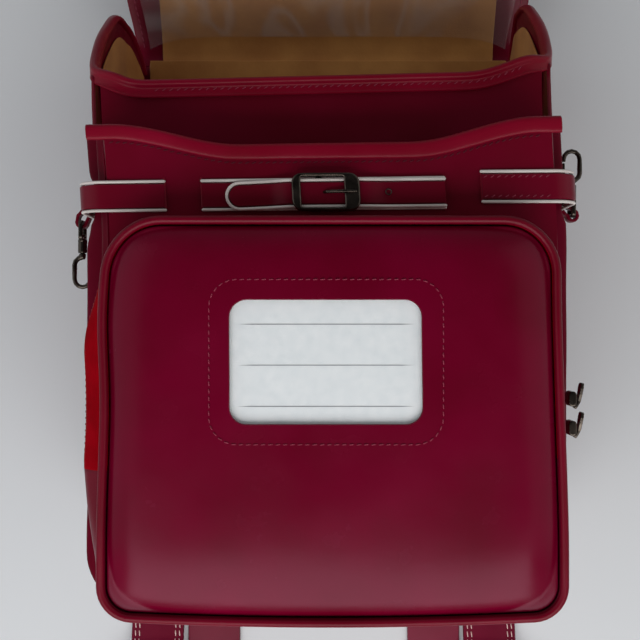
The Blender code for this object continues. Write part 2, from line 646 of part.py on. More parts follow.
def make_tongue():
    right = BUCKLE_LEFT + BUCKLE_WIDTH
    turns = np.radians((12, 30, 50, 70, 90))
    up, down = TONGUE_RAMP
    bends = (np.linspace(BUCKLE_LEFT - up, BUCKLE_LEFT, 4), np.linspace(right, right + down, 4))
    xs = np.concatenate((TONGUE_TIP + TONGUE_HALF_WIDTH * (1.0 - np.cos(turns)), *bends, [SLITS[2]]))
    halves = np.concatenate((TONGUE_HALF_WIDTH * np.sin(turns), np.full(len(xs) - len(turns), TONGUE_HALF_WIDTH)))
    path = np.column_stack((xs, np.full(len(xs), BELT_Y), tongue_height(xs)))
    tongue = strip("belt_tongue", path, halves, TONGUE_THICKNESS, (0, 1, 0), "leather", soft=True)
    holes = []
    first = centre_bar_x() + CENTRE_BAR / 2 + CLEARANCE + PRONG_RADIUS
    for number, x in enumerate((first, first + HOLE_PITCH)):
        at = lean([(x, BELT_Y, float(tongue_height(x)))])[0]
        outline, _ = rectangle(at[0] - HOLE_RADIUS, at[0] + HOLE_RADIUS, at[1] - HOLE_RADIUS, at[1] + HOLE_RADIUS,
                               0.98 * HOLE_RADIUS, arc_steps=3)
        holes.append(plate(f"hole_{number}", outline, at[2] - 4.0, at[2] + 4.0, "leather"))
    cut(tongue, holes)
    corners = ((SLITS[2], BELT_Y + TONGUE_HALF_WIDTH), (TONGUE_TIP, BELT_Y + TONGUE_HALF_WIDTH),
               (TONGUE_TIP, BELT_Y - TONGUE_HALF_WIDTH), (SLITS[2], BELT_Y - TONGUE_HALF_WIDTH))
    round_tip = 0.98 * TONGUE_HALF_WIDTH
    rim, normals = rounded_path(corners, (0, round_tip, round_tip, 0), (18, 1, 18))
    rim = rim + normals * (CLEARANCE + EDGE_RADIUS)
    tube("belt_tongue_edge", np.column_stack((rim, tongue_height(rim[:, 0]))), EDGE_RADIUS, "edge_white", soft=True)


def make_buckle():
    left, right = BUCKLE_LEFT, BUCKLE_LEFT + BUCKLE_WIDTH
    low = bar_level()
    middle = centre_bar_x()
    over = low + BAR_THICKNESS + 2 * CLEARANCE + TONGUE_THICKNESS
    top = over + BAR_THICKNESS
    channel = TONGUE_HALF_WIDTH + 2 * CLEARANCE + 2 * EDGE_RADIUS
    outline, _ = rectangle(left, right, BELT_Y - BUCKLE_HEIGHT / 2, BELT_Y + BUCKLE_HEIGHT / 2, 5.0, arc_steps=4)
    frame = plate("buckle_frame", outline, low, top, "gunmetal", soft=True)
    y0, y1 = BELT_Y - channel, BELT_Y + channel
    inner0, inner1 = left + LEFT_BAR, right - RIGHT_BAR
    bar0, bar1 = middle - CENTRE_BAR / 2, middle + CENTRE_BAR / 2
    cut(frame, (
        block("over_bar", (inner0, y0, low + BAR_THICKNESS), (inner1, y1, top + 5), "gunmetal", soft=True),
        block("under_left", (left - 5, y0, low - 5), (bar0, y1, over), "gunmetal", soft=True),
        block("under_right", (bar1, y0, low - 5), (right + 5, y1, over), "gunmetal", soft=True),
    ))
    start = bar1 + CLEARANCE + PRONG_RADIUS
    rest = top + CLEARANCE + PRONG_RADIUS
    path = [(start, BELT_Y, low + 0.2), (start, BELT_Y, over - 0.5), (start + 1.2, BELT_Y, over + 1.5),
            (inner1 - 3.5, BELT_Y, rest - 0.4), (inner1 - 0.5, BELT_Y, rest), (right - 1.5, BELT_Y, rest)]
    radii = PRONG_RADIUS * np.array((1.0, 1.0, 1.0, 1.0, 1.0, 0.75))
    tube("buckle_prong", path, radii, "gunmetal", plane=(0, 1, 0), soft=True)


def make_zip_sliders():
    deep, long, high = SLIDER_SIZE
    middle = POCKET_Z + POCKET_DEPTH / 2
    teeth = POCKET_X + POCKET_HALF_WIDTH + CLEARANCE + TEETH_HEIGHT + SLIDER_SEAT
    lean_angle = math.radians(PULL_LEAN)
    for name, y in zip(("upper", "lower"), SLIDER_YS):
        x = teeth + float(pocket_slump(np.array(((POCKET_HALF_WIDTH, y),)))[0])
        block("zip_slider_" + name, (x, y - long / 2, middle - high / 2), (x + deep, y + long / 2, middle + high / 2),
              "gunmetal", corner=1.6)
        pivot = np.array((x + deep - 0.4, y - long / 2 - CLEARANCE - PULL_THICKNESS / 2, middle))
        way = np.array((math.sin(lean_angle), math.cos(lean_angle), 0.0))
        side = np.array((way[1], -way[0], 0.0))
        clear = side * (0.4 + CLEARANCE + PULL_THICKNESS / 2)
        marks = np.array((0.0, 0.12, 0.3, 0.55, 0.8, 0.95, 1.0)) * PULL_LENGTH
        widths = PULL_WIDTH / 2 * np.array((0.5, 0.55, 0.6, 0.85, 1.0, 0.85, 0.5))
        path = pivot + marks[:, None] * way + clear * smooth(0.0, 0.25, marks / PULL_LENGTH)[:, None]
        strip("zip_pull_" + name, path, widths, PULL_THICKNESS, (0, 0, 1), "gunmetal", axis_at=tuple(pivot))


def make_hook(label, side, way):
    """Tab, swivel eye, hook and gate; way is -1 where the hook points down the bag and 1 where it points up."""
    belt = lean([(side * BELT_OUTSIDE, belt_centre_y(side), HOOK_Z)])[0]
    axis = belt + np.array((side * HOOK_OUT, 0.0, 0.0))
    eye_y = belt[1] - HOOK_DROP[label]

    def place(u, v, w=0.0):
        """u outwards from the hook's axis, v along the hook, w up from its middle plane."""
        return (axis[0] + side * u, eye_y + way * v, axis[2] + w)

    half, tall = EYE_WIDTH / 2, EYE_HEIGHT
    wire = EYE_THICKNESS * 0.8
    outer, _ = rectangle(-half, half, -tall / 2, tall / 2, 2.2, arc_steps=3)
    inner, _ = rectangle(wire - half, half - wire, wire - tall / 2, tall / 2 - wire, 1.0, arc_steps=3)
    rings = []
    for line, u in ((outer, -0.5), (outer, 0.5), (inner, 0.5), (inner, -0.5)):
        rings.append([place(u * EYE_THICKNESS, v, w) for w, v in line])
    eye = loft(f"hook_{label}_eye", rings, "gunmetal", closed=True)
    barrel0 = tall / 2 - 0.4 * wire
    barrel1 = tall / 2 + BARREL_LENGTH
    around = np.linspace(0, 2 * math.pi, 10, endpoint=False)

    def circle(radius, v):
        return [place(radius * math.cos(a), v, radius * math.sin(a)) for a in around]

    barrel = loft(f"barrel_{label}", (circle(BARREL_RADIUS, barrel0), circle(BARREL_RADIUS, barrel1)), "gunmetal")
    bore = loft(f"bore_{label}", (circle(BORE_RADIUS, 0.0), circle(BORE_RADIUS, barrel1 + 3)), "gunmetal")
    cut(eye, (barrel,), "UNION")
    cut(eye, (bore,))

    pin = BORE_RADIUS - CLEARANCE
    head0 = tall / 2 - wire - CLEARANCE - 1.0
    neck = barrel1 + CLEARANCE
    marks = [(0.0, head0, BORE_RADIUS + 0.5), (0.0, head0 + 0.95, BORE_RADIUS + 0.5), (0.0, head0 + 1.0, pin),
             (0.0, neck - 0.02, pin), (0.0, neck, BARREL_RADIUS - 0.5), (0.0, neck + 1.6, BARREL_RADIUS - 0.5)]
    bend = HOOK_INNER_WIDTH / 2 + WIRE_RADIUS
    straight = HOOK_LENGTH - 2 * bend - WIRE_RADIUS
    shoulder = neck + 1.6 + bend
    for degrees in (60, 30, 0):
        a = math.radians(degrees)
        marks.append((bend * math.cos(a), shoulder - bend * 0.9 * math.sin(a), WIRE_RADIUS * 1.1))
    foot = shoulder + straight - 2.0
    for degrees in range(0, 181, 30):
        a = math.radians(degrees)
        marks.append((bend * math.cos(a), foot + bend * math.sin(a), WIRE_RADIUS))
    marks.append((-bend, foot - 1.6, WIRE_RADIUS * 0.85))
    path = [place(u, v) for u, v, _ in marks]
    tube(f"hook_{label}", path, [m[2] for m in marks], "gunmetal", sides=8, axis_at=place(0.0, neck))

    hinge = (-bend * 0.72, shoulder - bend * 0.35)
    nose = foot - 1.6 - WIRE_RADIUS * 0.2 - CLEARANCE
    lever = [(hinge[0], hinge[1], 0.85), (-bend, hinge[1] + 1.6, 0.85), (-bend, nose - 1.0, 0.85),
             (-bend, nose, 0.75)]
    tube(f"hook_{label}_gate", [place(u, v) for u, v, _ in lever], [m[2] for m in lever], "gunmetal", sides=6,
         axis_at=place(*hinge))

    reach = EYE_THICKNESS / 2 + TAB_THICKNESS / 2 + 0.5
    near = CLEARANCE + TAB_THICKNESS / 2 - HOOK_OUT
    far = near + TAB_THICKNESS + CLEARANCE
    bar = -tall / 2 + wire / 2
    belt_v = (belt[1] - eye_y) * way
    turns = np.linspace(-0.5 * math.pi, 0.5 * math.pi, 7)
    if way < 0:
        bend_v = bar + 0.25
        tab = [(near, belt_v - 1.0), (near + 0.1, belt_v + 2.5), (-reach - 1.4, bend_v - 3.0)]
        tab += [(reach * math.sin(a), bend_v + reach * math.cos(a)) for a in turns]
        tab += [(reach - 0.6, bend_v - 3.7), (-0.5 * reach, bend_v - 7.2), (far + 0.3, belt_v + 0.6),
                (far, belt_v - 1.5)]
    else:
        bend_v = bar - 0.25
        tab = [(near, belt_v), (near + 0.2, bend_v + 4.8), (-reach - 2.0, bend_v + 1.5)]
        tab += [(reach * math.sin(a), bend_v - reach * math.cos(a)) for a in turns]
        tab += [(reach - 0.4, bend_v + 1.9), (0.4, bend_v + 3.5), (-reach, bend_v + 5.1), (far, belt_v - 1.0)]
    strip(f"hook_{label}_tab", [place(u, v) for u, v in tab], TAB_WIDTH / 2, TAB_THICKNESS, (0, 0, 1), "leather")


def flap_sheet(name, rows, half_widths, lift, thickness, finish, columns, wave=0.0):
    """Sheet that follows the flap; lift is its underside above the flap's own underside."""
    lengths = np.array([row[0] for row in FLAP_SECTIONS]) * FLAP_LENGTH
    start = BACK_Z * np.clip(1.0 - lengths / (0.07 * FLAP_LENGTH), 0.0, 1.0) ** 2
    heights = start + np.array([row[2] for row in FLAP_SECTIONS]) * FLAP_ARCH
    level = np.interp(rows, lengths, heights)
    upper, under = [], []
    for number, (row, half, z) in enumerate(zip(rows, half_widths, level)):
        x = np.array(columns) * half
        ripple = wave * (0.5 + 0.5 * np.cos(np.arange(len(columns)) * 2.1 + number * 1.3))
        y = np.full(len(x), BACK_TOP + CLEARANCE + row)
        upper.append(np.column_stack((x, y, z + lift + thickness + ripple)))
        under.append(np.column_stack((x, y, z + lift + ripple)))
    shell(name, np.array(upper), np.array(under), finish)


def make_flap():
    lengths = np.array([row[0] for row in FLAP_SECTIONS]) * FLAP_LENGTH
    halves = np.array([row[1] for row in FLAP_SECTIONS]) * FLAP_HALF_WIDTH
    flap_sheet("flap", lengths, halves, 0.0, LEATHER, "leather", (-1, -0.6, 0, 0.6, 1))
    rows = np.concatenate(([FLAP_LINING_START], lengths[2:15]))
    lift = LEATHER + CLEARANCE
    inner = np.full(len(rows), FLAP_TAN_HALF_WIDTH)
    flap_sheet("flap_lining", rows, inner, lift, FLAP_LINING, "lining_tan", (-1, 0, 1))
    rows = np.concatenate(([CLEAR_POCKET_START], lengths[2:14]))
    film = np.interp(rows, lengths, halves) - FLAP_SEAM
    flap_sheet("clear_pocket", rows, film, lift + FLAP_LINING + CLEARANCE, FILM_POCKET, "clear_film",
               (-1, -0.75, -0.5, -0.25, 0, 0.25, 0.5, 0.75, 1), wave=1.2)
    wide, long, thick = LOCK_PLATE_SIZE
    tip = BACK_TOP + FLAP_LENGTH - 0.35 * long
    block("lock_plate", (-wide / 2, tip - long, LEATHER + CLEARANCE),
          (wide / 2, tip, LEATHER + CLEARANCE + thick), "gunmetal", corner=5.0)


def make_lock():
    wide, deep, tall = LOCK_SIZE
    seat = BODY_BOTTOM - MAIN_BULGE - CLEARANCE
    z = MAIN_Z + 0.5 * MAIN_DEPTH
    block("lock_body", (-wide / 2, seat - deep, z - tall / 2), (wide / 2, seat, z + tall / 2), "gunmetal",
          corner=5.0, along="y")


def strap_path(side):
    """Down from the bracket under the bag, over in a loop beyond its bottom, and back beside itself."""
    top_x, low_x, back_x = [share * BODY_HALF_WIDTH for share in STRAP_LINES[side]]
    level = STRAP_THICKNESS / 2
    radius = STRAP_LOOP_RADIUS
    down = [(top_x, STRAP_TOP_Y), (top_x + 0.35 * (low_x - top_x), 0.3 * STRAP_TOP_Y),
            (top_x + 0.8 * (low_x - top_x), 0.55 * BODY_BOTTOM), (low_x, BODY_BOTTOM),
            (low_x, 0.8 * STRAP_LOOP_Y), (low_x, 0.93 * STRAP_LOOP_Y)]
    path = [(x, y, level) for x, y in down]
    loop = []
    for degrees in (0, 22, 45, 68, 90, 112, 135, 158, 180):
        a = math.radians(degrees)
        loop.append((STRAP_LOOP_Y - radius * math.sin(a), level + radius * (1 - math.cos(a))))
    for share in (0.25, 0.5, 0.75, 1.0):
        fall = float(smooth(0.0, 1.0, np.array(share)))
        loop.append((STRAP_LOOP_Y + share * 4.4 * radius, level + 2 * radius * (1 - fall)))
    for number, (y, z) in enumerate(loop):
        share = float(smooth(0.0, 0.8, np.array(number / (len(loop) - 1))))
        path.append((low_x + (back_x - low_x) * share, y, z))
    path.append((back_x, 1.1 * BODY_BOTTOM, level))
    path.append((back_x, STRAP_END_Y, level))
    return path


def make_straps():
    for side, sign in (("left", -1), ("right", 1)):
        strip("strap_" + side, strap_path(side), STRAP_WIDTH / 2, STRAP_THICKNESS, (1, 0, 0), "leather")
        x = STRAP_LINES[side][2] * BODY_HALF_WIDTH
        y = STRAP_END_Y + CLEARANCE
        block("strap_anchor_" + side, (x - ANCHOR_WIDTH / 2, y, 0.0),
              (x + ANCHOR_WIDTH / 2, y + ANCHOR_LENGTH, STRAP_THICKNESS), "leather", corner=4.0)
    reach = STRAP_LINES["right"][0] * BODY_HALF_WIDTH + STRAP_WIDTH / 2
    y = STRAP_TOP_Y + CLEARANCE
    block("strap_bracket", (-reach, y, 0.0), (reach, y + BRACKET_LENGTH, STRAP_THICKNESS), "gunmetal", corner=6.0)


def set_origin():
    """Put the bottom centre of the whole bag at the world's origin."""
    bpy.context.view_layer.update()
    corners = np.array([tuple(thing.matrix_world @ Vector(corner)) for thing in bpy.data.objects
                        if not thing.hide_render for corner in thing.bound_box])
    low, high = corners.min(axis=0), corners.max(axis=0)
    shift = Vector(((low[0] + high[0]) / 2, (low[1] + high[1]) / 2, low[2]))
    for thing in bpy.data.objects:
        thing.location -= shift


def main():
    for thing in list(bpy.data.objects):
        bpy.data.objects.remove(thing, do_unlink=True)
    make_back()
    make_main()
    make_fronts()
    make_pocket()
    make_window()
    make_belts()
    make_tongue()
    make_buckle()
    make_zip_sliders()
    make_hook("left", -1, -1)
    make_hook("right", 1, 1)
    make_flap()
    make_lock()
    make_straps()
    set_origin()


main()
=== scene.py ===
import math

import bmesh
import bpy
import numpy as np
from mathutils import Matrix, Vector


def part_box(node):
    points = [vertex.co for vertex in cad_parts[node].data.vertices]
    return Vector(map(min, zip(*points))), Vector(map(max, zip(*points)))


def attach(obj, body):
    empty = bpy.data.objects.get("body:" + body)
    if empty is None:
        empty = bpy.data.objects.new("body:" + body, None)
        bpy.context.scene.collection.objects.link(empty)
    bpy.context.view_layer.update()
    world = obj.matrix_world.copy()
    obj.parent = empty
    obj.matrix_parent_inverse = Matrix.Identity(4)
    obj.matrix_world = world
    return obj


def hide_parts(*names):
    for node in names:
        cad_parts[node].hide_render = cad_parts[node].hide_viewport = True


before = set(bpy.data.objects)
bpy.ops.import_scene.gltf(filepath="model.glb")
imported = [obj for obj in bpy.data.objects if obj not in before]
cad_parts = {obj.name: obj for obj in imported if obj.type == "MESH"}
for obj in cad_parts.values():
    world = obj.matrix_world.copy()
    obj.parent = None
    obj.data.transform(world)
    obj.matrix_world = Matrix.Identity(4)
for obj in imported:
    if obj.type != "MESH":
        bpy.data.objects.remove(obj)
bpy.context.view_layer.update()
print("frame loaded:", len(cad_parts), "nodes")

backLow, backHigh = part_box("back_panel")
bodyBottom = -145.0
shiftX = (backLow[0] + backHigh[0]) * 500.0      # bag millimetres to world millimetres
shiftY = backLow[1] * 1000.0 - bodyBottom


# numbers and shapes

def toWorld(points):
    # bag millimetres to the frame's metres
    points = np.asarray(points, float)
    return (points + np.array((shiftX, shiftY, 0.0))) * 0.001


def smoothStep(start, end, value):
    # 0 before start, 1 past end, and 3 t^2 - 2 t^3 between them
    share = np.clip((np.asarray(value, float) - start) / (end - start), 0.0, 1.0)
    return share * share * (3.0 - 2.0 * share)


def throughPoints(value, xs, ys):
    # cubic through a short table: each point's slope is that between its neighbours
    xs, ys = np.asarray(xs, float), np.asarray(ys, float)
    slopes = np.gradient(ys, xs)
    value = np.clip(value, xs[0], xs[-1])
    at = np.clip(np.searchsorted(xs, value, side="right") - 1, 0, len(xs) - 2)
    width = xs[at + 1] - xs[at]
    t = (value - xs[at]) / width
    return (ys[at] * (2 * t**3 - 3 * t**2 + 1) + slopes[at] * width * (t**3 - 2 * t**2 + t)
            + ys[at + 1] * (3 * t**2 - 2 * t**3) + slopes[at + 1] * width * (t**3 - t**2))


def ripples(points, length, seed):
    # smooth uneven field between -1 and 1: five sine waves in seeded directions, about a length apart
    chance = np.random.default_rng(seed)
    ways = chance.normal(size=(5, 3))
    ways /= np.linalg.norm(ways, axis=1)[:, None]
    rates = 2 * math.pi / (length * chance.uniform(0.7, 1.6, 5))
    starts = chance.uniform(0, 2 * math.pi, 5)
    waves = np.sin(np.asarray(points, float) @ (ways * rates[:, None]).T + starts)
    return waves.sum(axis=-1) / 3.2


body = {"backTop": 162.0, "backFace": 18.0, "mainDepth": 109.4, "leanLeft": 4.5, "leanTurn": 0.025}


def lean(points):
    # the soft body has settled to its left: nothing at the back panel, most above the mouth
    points = np.array(points, float)
    x, y, z = points[..., 0], points[..., 1], points[..., 2]
    share = smoothStep(0.2 * body["backTop"], 0.83 * body["backTop"], y)
    share = share * np.clip((z - body["backFace"]) / (0.25 * body["mainDepth"]), 0, 1)
    return np.stack((x - body["leanLeft"] * share, y + body["leanTurn"] * x * share, z), axis=-1)


def resample(points, count):
    # the same line with points at equal distances
    points = np.asarray(points, float)
    marks = np.concatenate(([0.0], np.cumsum(np.linalg.norm(np.diff(points, axis=0), axis=1))))
    even = np.linspace(0.0, marks[-1], count)
    return np.stack([np.interp(even, marks, points[:, k]) for k in range(points.shape[1])], axis=1)


def roundedPath(corners, radii, closed=False, arcSteps=14):
    # counterclockwise path with each corner turned into an arc
    corners = [np.array(c, float) for c in corners]
    count = len(corners)
    points = []
    for i, corner in enumerate(corners):
        if not closed and i in (0, count - 1):
            points.append(corner)
            continue
        before = corner - corners[i - 1]
        after = corners[(i + 1) % count] - corner
        before /= np.linalg.norm(before)
        after /= np.linalg.norm(after)
        turn = math.atan2(before[0] * after[1] - before[1] * after[0], before @ after)
        centre = corner - before * radii[i] * math.tan(turn / 2) + np.array((-before[1], before[0])) * radii[i]
        angles = math.atan2(-before[0], before[1]) + turn * np.linspace(0, 1, arcSteps)
        points.extend(centre + radii[i] * np.stack((np.cos(angles), np.sin(angles)), axis=1))
    return np.array(points + ([points[0]] if closed else []))


def evenOutline(corners, radii, count, closed=False):
    # points at equal distances on a rounded outline, and the outward direction at each
    line = resample(roundedPath(corners, radii, closed), count + (1 if closed else 0))
    if closed:
        line = line[:-1]
        along = np.roll(line, -1, axis=0) - np.roll(line, 1, axis=0)
    else:
        along = np.gradient(line, axis=0)
    along /= np.linalg.norm(along, axis=1)[:, None]
    return line, np.stack((along[:, 1], -along[:, 0]), axis=1)


def boxCorners(x0, x1, y0, y1):
    return ((x0, y0), (x1, y0), (x1, y1), (x0, y1))


# meshes

def finishMesh(name, points, faces, material, ridesOn="bag", soft=False):
    # the piece's mesh in the frame's metres, its faces turned outwards; a soft piece leans with the body
    if soft:
        points = lean(points)
    mesh = bpy.data.meshes.new(name)
    mesh.from_pydata(toWorld(points).tolist(), [], [tuple(f) for f in faces])
    work = bmesh.new()
    work.from_mesh(mesh)
    bmesh.ops.recalc_face_normals(work, faces=work.faces)
    work.to_mesh(mesh)
    work.free()
    mesh.shade_smooth()
    mesh.set_sharp_from_angle(angle=math.radians(50))
    mesh.materials.append(material)
    made = bpy.data.objects.new(name, mesh)
    bpy.context.scene.collection.objects.link(made)
    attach(made, ridesOn)
    return made


def gridFaces(rows, cols, closedRows=False, closedCols=False, start=0):
    # the quads of a grid of points; a closed way joins its last line to its first
    i = np.arange(rows if closedRows else rows - 1)[:, None]
    j = np.arange(cols if closedCols else cols - 1)[None, :]
    after, beside = (i + 1) % rows, (j + 1) % cols
    quads = np.stack((i * cols + j, i * cols + beside, after * cols + beside, after * cols + j), axis=-1)
    return (quads.reshape(-1, 4) + start).tolist()


def loftPiece(name, rings, material, closed=False, **options):
    # rings of equally many points, joined in turn; closed joins the last to the first, else both ends get a cap
    rings = np.asarray(rings, float)
    rows, cols = rings.shape[:2]
    faces = gridFaces(rows, cols, closed, True)
    if not closed:
        faces += [tuple(range(cols)), tuple((rows - 1) * cols + j for j in reversed(range(cols)))]
    return finishMesh(name, rings.reshape(-1, 3), faces, material, **options)


def sheetPiece(name, outer, inner, material, **options):
    # a wall: outer and inner grid, and a rounded edge that bulges by half the thickness
    rows, cols = outer.shape[:2]
    shift = rows * cols
    firstRow, lastCol = np.arange(cols), np.arange(1, rows) * cols + cols - 1
    lastRow, firstCol = (rows - 1) * cols + np.arange(cols - 2, -1, -1), np.arange(rows - 2, 0, -1) * cols
    border = np.concatenate((firstRow, lastCol, lastRow, firstCol))
    across = np.concatenate((firstRow + cols, lastCol - 1, lastRow - cols, firstCol + 1))     # one step inwards
    flatOuter, flatInner = outer.reshape(-1, 3), inner.reshape(-1, 3)
    away = flatOuter[border] - flatOuter[across]
    away /= np.linalg.norm(away, axis=1)[:, None] + 1e-9
    thick = np.linalg.norm(flatOuter[border] - flatInner[border], axis=1)[:, None]
    lip = (flatOuter[border] + flatInner[border]) / 2 + away * thick * 0.4
    points = np.concatenate((flatOuter, flatInner, lip))
    faces = gridFaces(rows, cols) + [tuple(reversed(f)) for f in gridFaces(rows, cols, start=shift)]
    ring = np.arange(len(border))
    after = np.roll(ring, -1)
    lipRing, lipAfter = ring + 2 * shift, after + 2 * shift
    faces += np.stack((border, lipRing, lipAfter, border[after]), axis=1).tolist()
    faces += np.stack((lipRing, border + shift, border[after] + shift, lipAfter), axis=1).tolist()
    return finishMesh(name, points, faces, material, **options)


def sectionRings(path, sections, side, up, roundEnds=0.0):
    # a profile carried along a path; roundEnds adds shrinking rings so that both ends are domed
    path, sections = np.asarray(path, float), np.asarray(sections, float)
    if sections.ndim == 2:
        sections = np.broadcast_to(sections, (len(path),) + sections.shape)
    side = np.broadcast_to(np.asarray(side, float), path.shape)
    up = np.broadcast_to(np.asarray(up, float), path.shape)
    rings = path[:, None] + sections[..., :1] * side[:, None] + sections[..., 1:] * up[:, None]
    if not roundEnds:
        return rings
    turns = np.radians((85, 60, 30))
    out0 = path[0] - path[1]
    out1 = path[-1] - path[-2]
    out0 /= np.linalg.norm(out0)
    out1 /= np.linalg.norm(out1)
    first = [path[0] + out0 * roundEnds * math.sin(a) + (rings[0] - path[0]) * math.cos(a) for a in turns]
    last = [path[-1] + out1 * roundEnds * math.sin(a) + (rings[-1] - path[-1]) * math.cos(a) for a in turns[::-1]]
    return np.concatenate((first, rings, last))


def ovalSection(halfAcross, halfUp, sides=16):
    # an ellipse of equally spaced angles
    angles = np.linspace(0, 2 * math.pi, sides, endpoint=False)
    return np.stack((np.cos(angles) * halfAcross, np.sin(angles) * halfUp), axis=1)


def sideAndUp(path, up):
    # the two directions square to a path, the second one nearest to a given up
    along = np.gradient(np.asarray(path, float), axis=0)
    along /= np.linalg.norm(along, axis=1)[:, None]
    up = np.broadcast_to(np.asarray(up, float), along.shape)
    side = np.cross(along, up)
    side /= np.linalg.norm(side, axis=1)[:, None]
    return side, np.cross(side, along)


def rodPiece(name, path, radius, material, up=(0, 0, 1), closed=False, sides=12, **options):
    # a round section carried along a path; an open one gets domed ends
    path = np.asarray(path, float)
    section = ovalSection(radius, radius, sides)
    if closed:
        along = np.roll(path, -1, axis=0) - np.roll(path, 1, axis=0)
        along /= np.linalg.norm(along, axis=1)[:, None]
        side = np.cross(along, up)
        side /= np.linalg.norm(side, axis=1)[:, None]
        rings = sectionRings(path, section, side, np.cross(side, along))
    else:
        rings = sectionRings(path, section, *sideAndUp(path, up), radius)
    return loftPiece(name, rings, material, closed=closed, **options)


def stitchPiece(name, lines, up, material, length=3.4, pitch=4.2, radius=0.36, slant=8.0, sink=0.12, **options):
    # thread: one small capsule for each stitch, turned by slant degrees in the leather's plane
    rings = np.array(((-1.0, 0.15), (-0.8, 0.8), (0.0, 1.0), (0.8, 0.8), (1.0, 0.15)))
    angles = np.linspace(0, 2 * math.pi, 6, endpoint=False)
    template = np.array([(a * length / 2, r * radius * math.cos(t), r * radius * math.sin(t))
                         for a, r in rings for t in angles])
    capFaces = gridFaces(5, 6, False, True) + [tuple(range(6)), tuple(24 + j for j in reversed(range(6)))]
    points, faces = [], []
    for line in lines:
        line = np.asarray(line, float)
        total = np.linalg.norm(np.diff(line, axis=0), axis=1).sum()
        count = max(int(total / pitch), 2)
        even = resample(line, 2 * count + 1)
        centres, along = even[1::2], even[2::2] - even[:-2:2]
        along /= np.linalg.norm(along, axis=1)[:, None]
        upward = np.broadcast_to(np.asarray(up, float), along.shape)
        side = np.cross(upward, along)
        side /= np.linalg.norm(side, axis=1)[:, None]
        turn = math.radians(slant)
        ways = along * math.cos(turn) + side * math.sin(turn)
        sides = side * math.cos(turn) - along * math.sin(turn)
        placed = (centres[:, None] + (radius - sink) * upward[:, None] + template[None, :, :1] * ways[:, None]
                  + template[None, :, 1:2] * sides[:, None] + template[None, :, 2:] * upward[:, None])
        start = sum(len(p) for p in points)
        points.append(placed.reshape(-1, 3))
        faces += [tuple(v + start + k * 30 for v in f) for k in range(len(centres)) for f in capFaces]
    return finishMesh(name, np.concatenate(points), faces, material, **options)


def castPiece(node, material, voxel=0.35, rounds=6, ridesOn="bag"):
    # cast metal and small thick leather: the node's own shape, remeshed finely, with every edge worn round
    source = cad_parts[node]
    mesh = source.data.copy()
    made = bpy.data.objects.new("cast_" + node, mesh)
    bpy.context.scene.collection.objects.link(made)
    work = bmesh.new()
    work.from_mesh(mesh)
    bmesh.ops.remove_doubles(work, verts=work.verts, dist=1e-6)
    work.to_mesh(mesh)
    work.free()
    remesh = made.modifiers.new("fine", "REMESH")
    remesh.mode = "VOXEL"
    remesh.voxel_size = voxel * 0.001
    remesh.use_smooth_shade = True
    worn = made.modifiers.new("worn", "SMOOTH")
    worn.factor = 0.5
    worn.iterations = rounds
    ready = bpy.data.meshes.new_from_object(made.evaluated_get(bpy.context.evaluated_depsgraph_get()))
    made.modifiers.clear()
    made.data = ready
    ready.materials.clear()
    ready.materials.append(material)
    ready.shade_smooth()
    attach(made, ridesOn)
    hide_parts(node)
    return made


# materials

def linear(hexColour):
    # sRGB hex to linear light
    parts = [int(hexColour[k:k + 2], 16) / 255.0 for k in (1, 3, 5)]
    return tuple(p / 12.92 if p <= 0.04045 else ((p + 0.055) / 1.055) ** 2.4 for p in parts) + (1.0,)


def addNode(tree, kind, settings=None, links=None):
    made = tree.nodes.new(kind)
    for key, value in (settings or {}).items():
        if key in made.inputs.keys():
            made.inputs[key].default_value = value
        else:
            setattr(made, key, value)
    for key, (node, output) in (links or {}).items():
        tree.links.new(node.outputs[output], made.inputs[key])
    return made


def newMaterial(name, **sockets):
    # a Principled shader, and Object coordinates for its patterns
    made = bpy.data.materials.new(name)
    made.use_nodes = True
    tree = made.node_tree
    shader = tree.nodes["Principled BSDF"]
    for key, value in sockets.items():
        shader.inputs[key.replace("_", " ")].default_value = value
    place = addNode(tree, "ShaderNodeTexCoord")
    return made, tree, shader, (place, "Object")


def colourBetween(tree, shader, factor, dark, light, low=0.3, high=0.7):
    ramp = addNode(tree, "ShaderNodeValToRGB", {}, {"Fac": factor})
    ramp.color_ramp.elements[0].position = low
    ramp.color_ramp.elements[0].color = linear(dark)
    ramp.color_ramp.elements[1].position = high
    ramp.color_ramp.elements[1].color = linear(light)
    tree.links.new(ramp.outputs["Color"], shader.inputs["Base Color"])
    return ramp


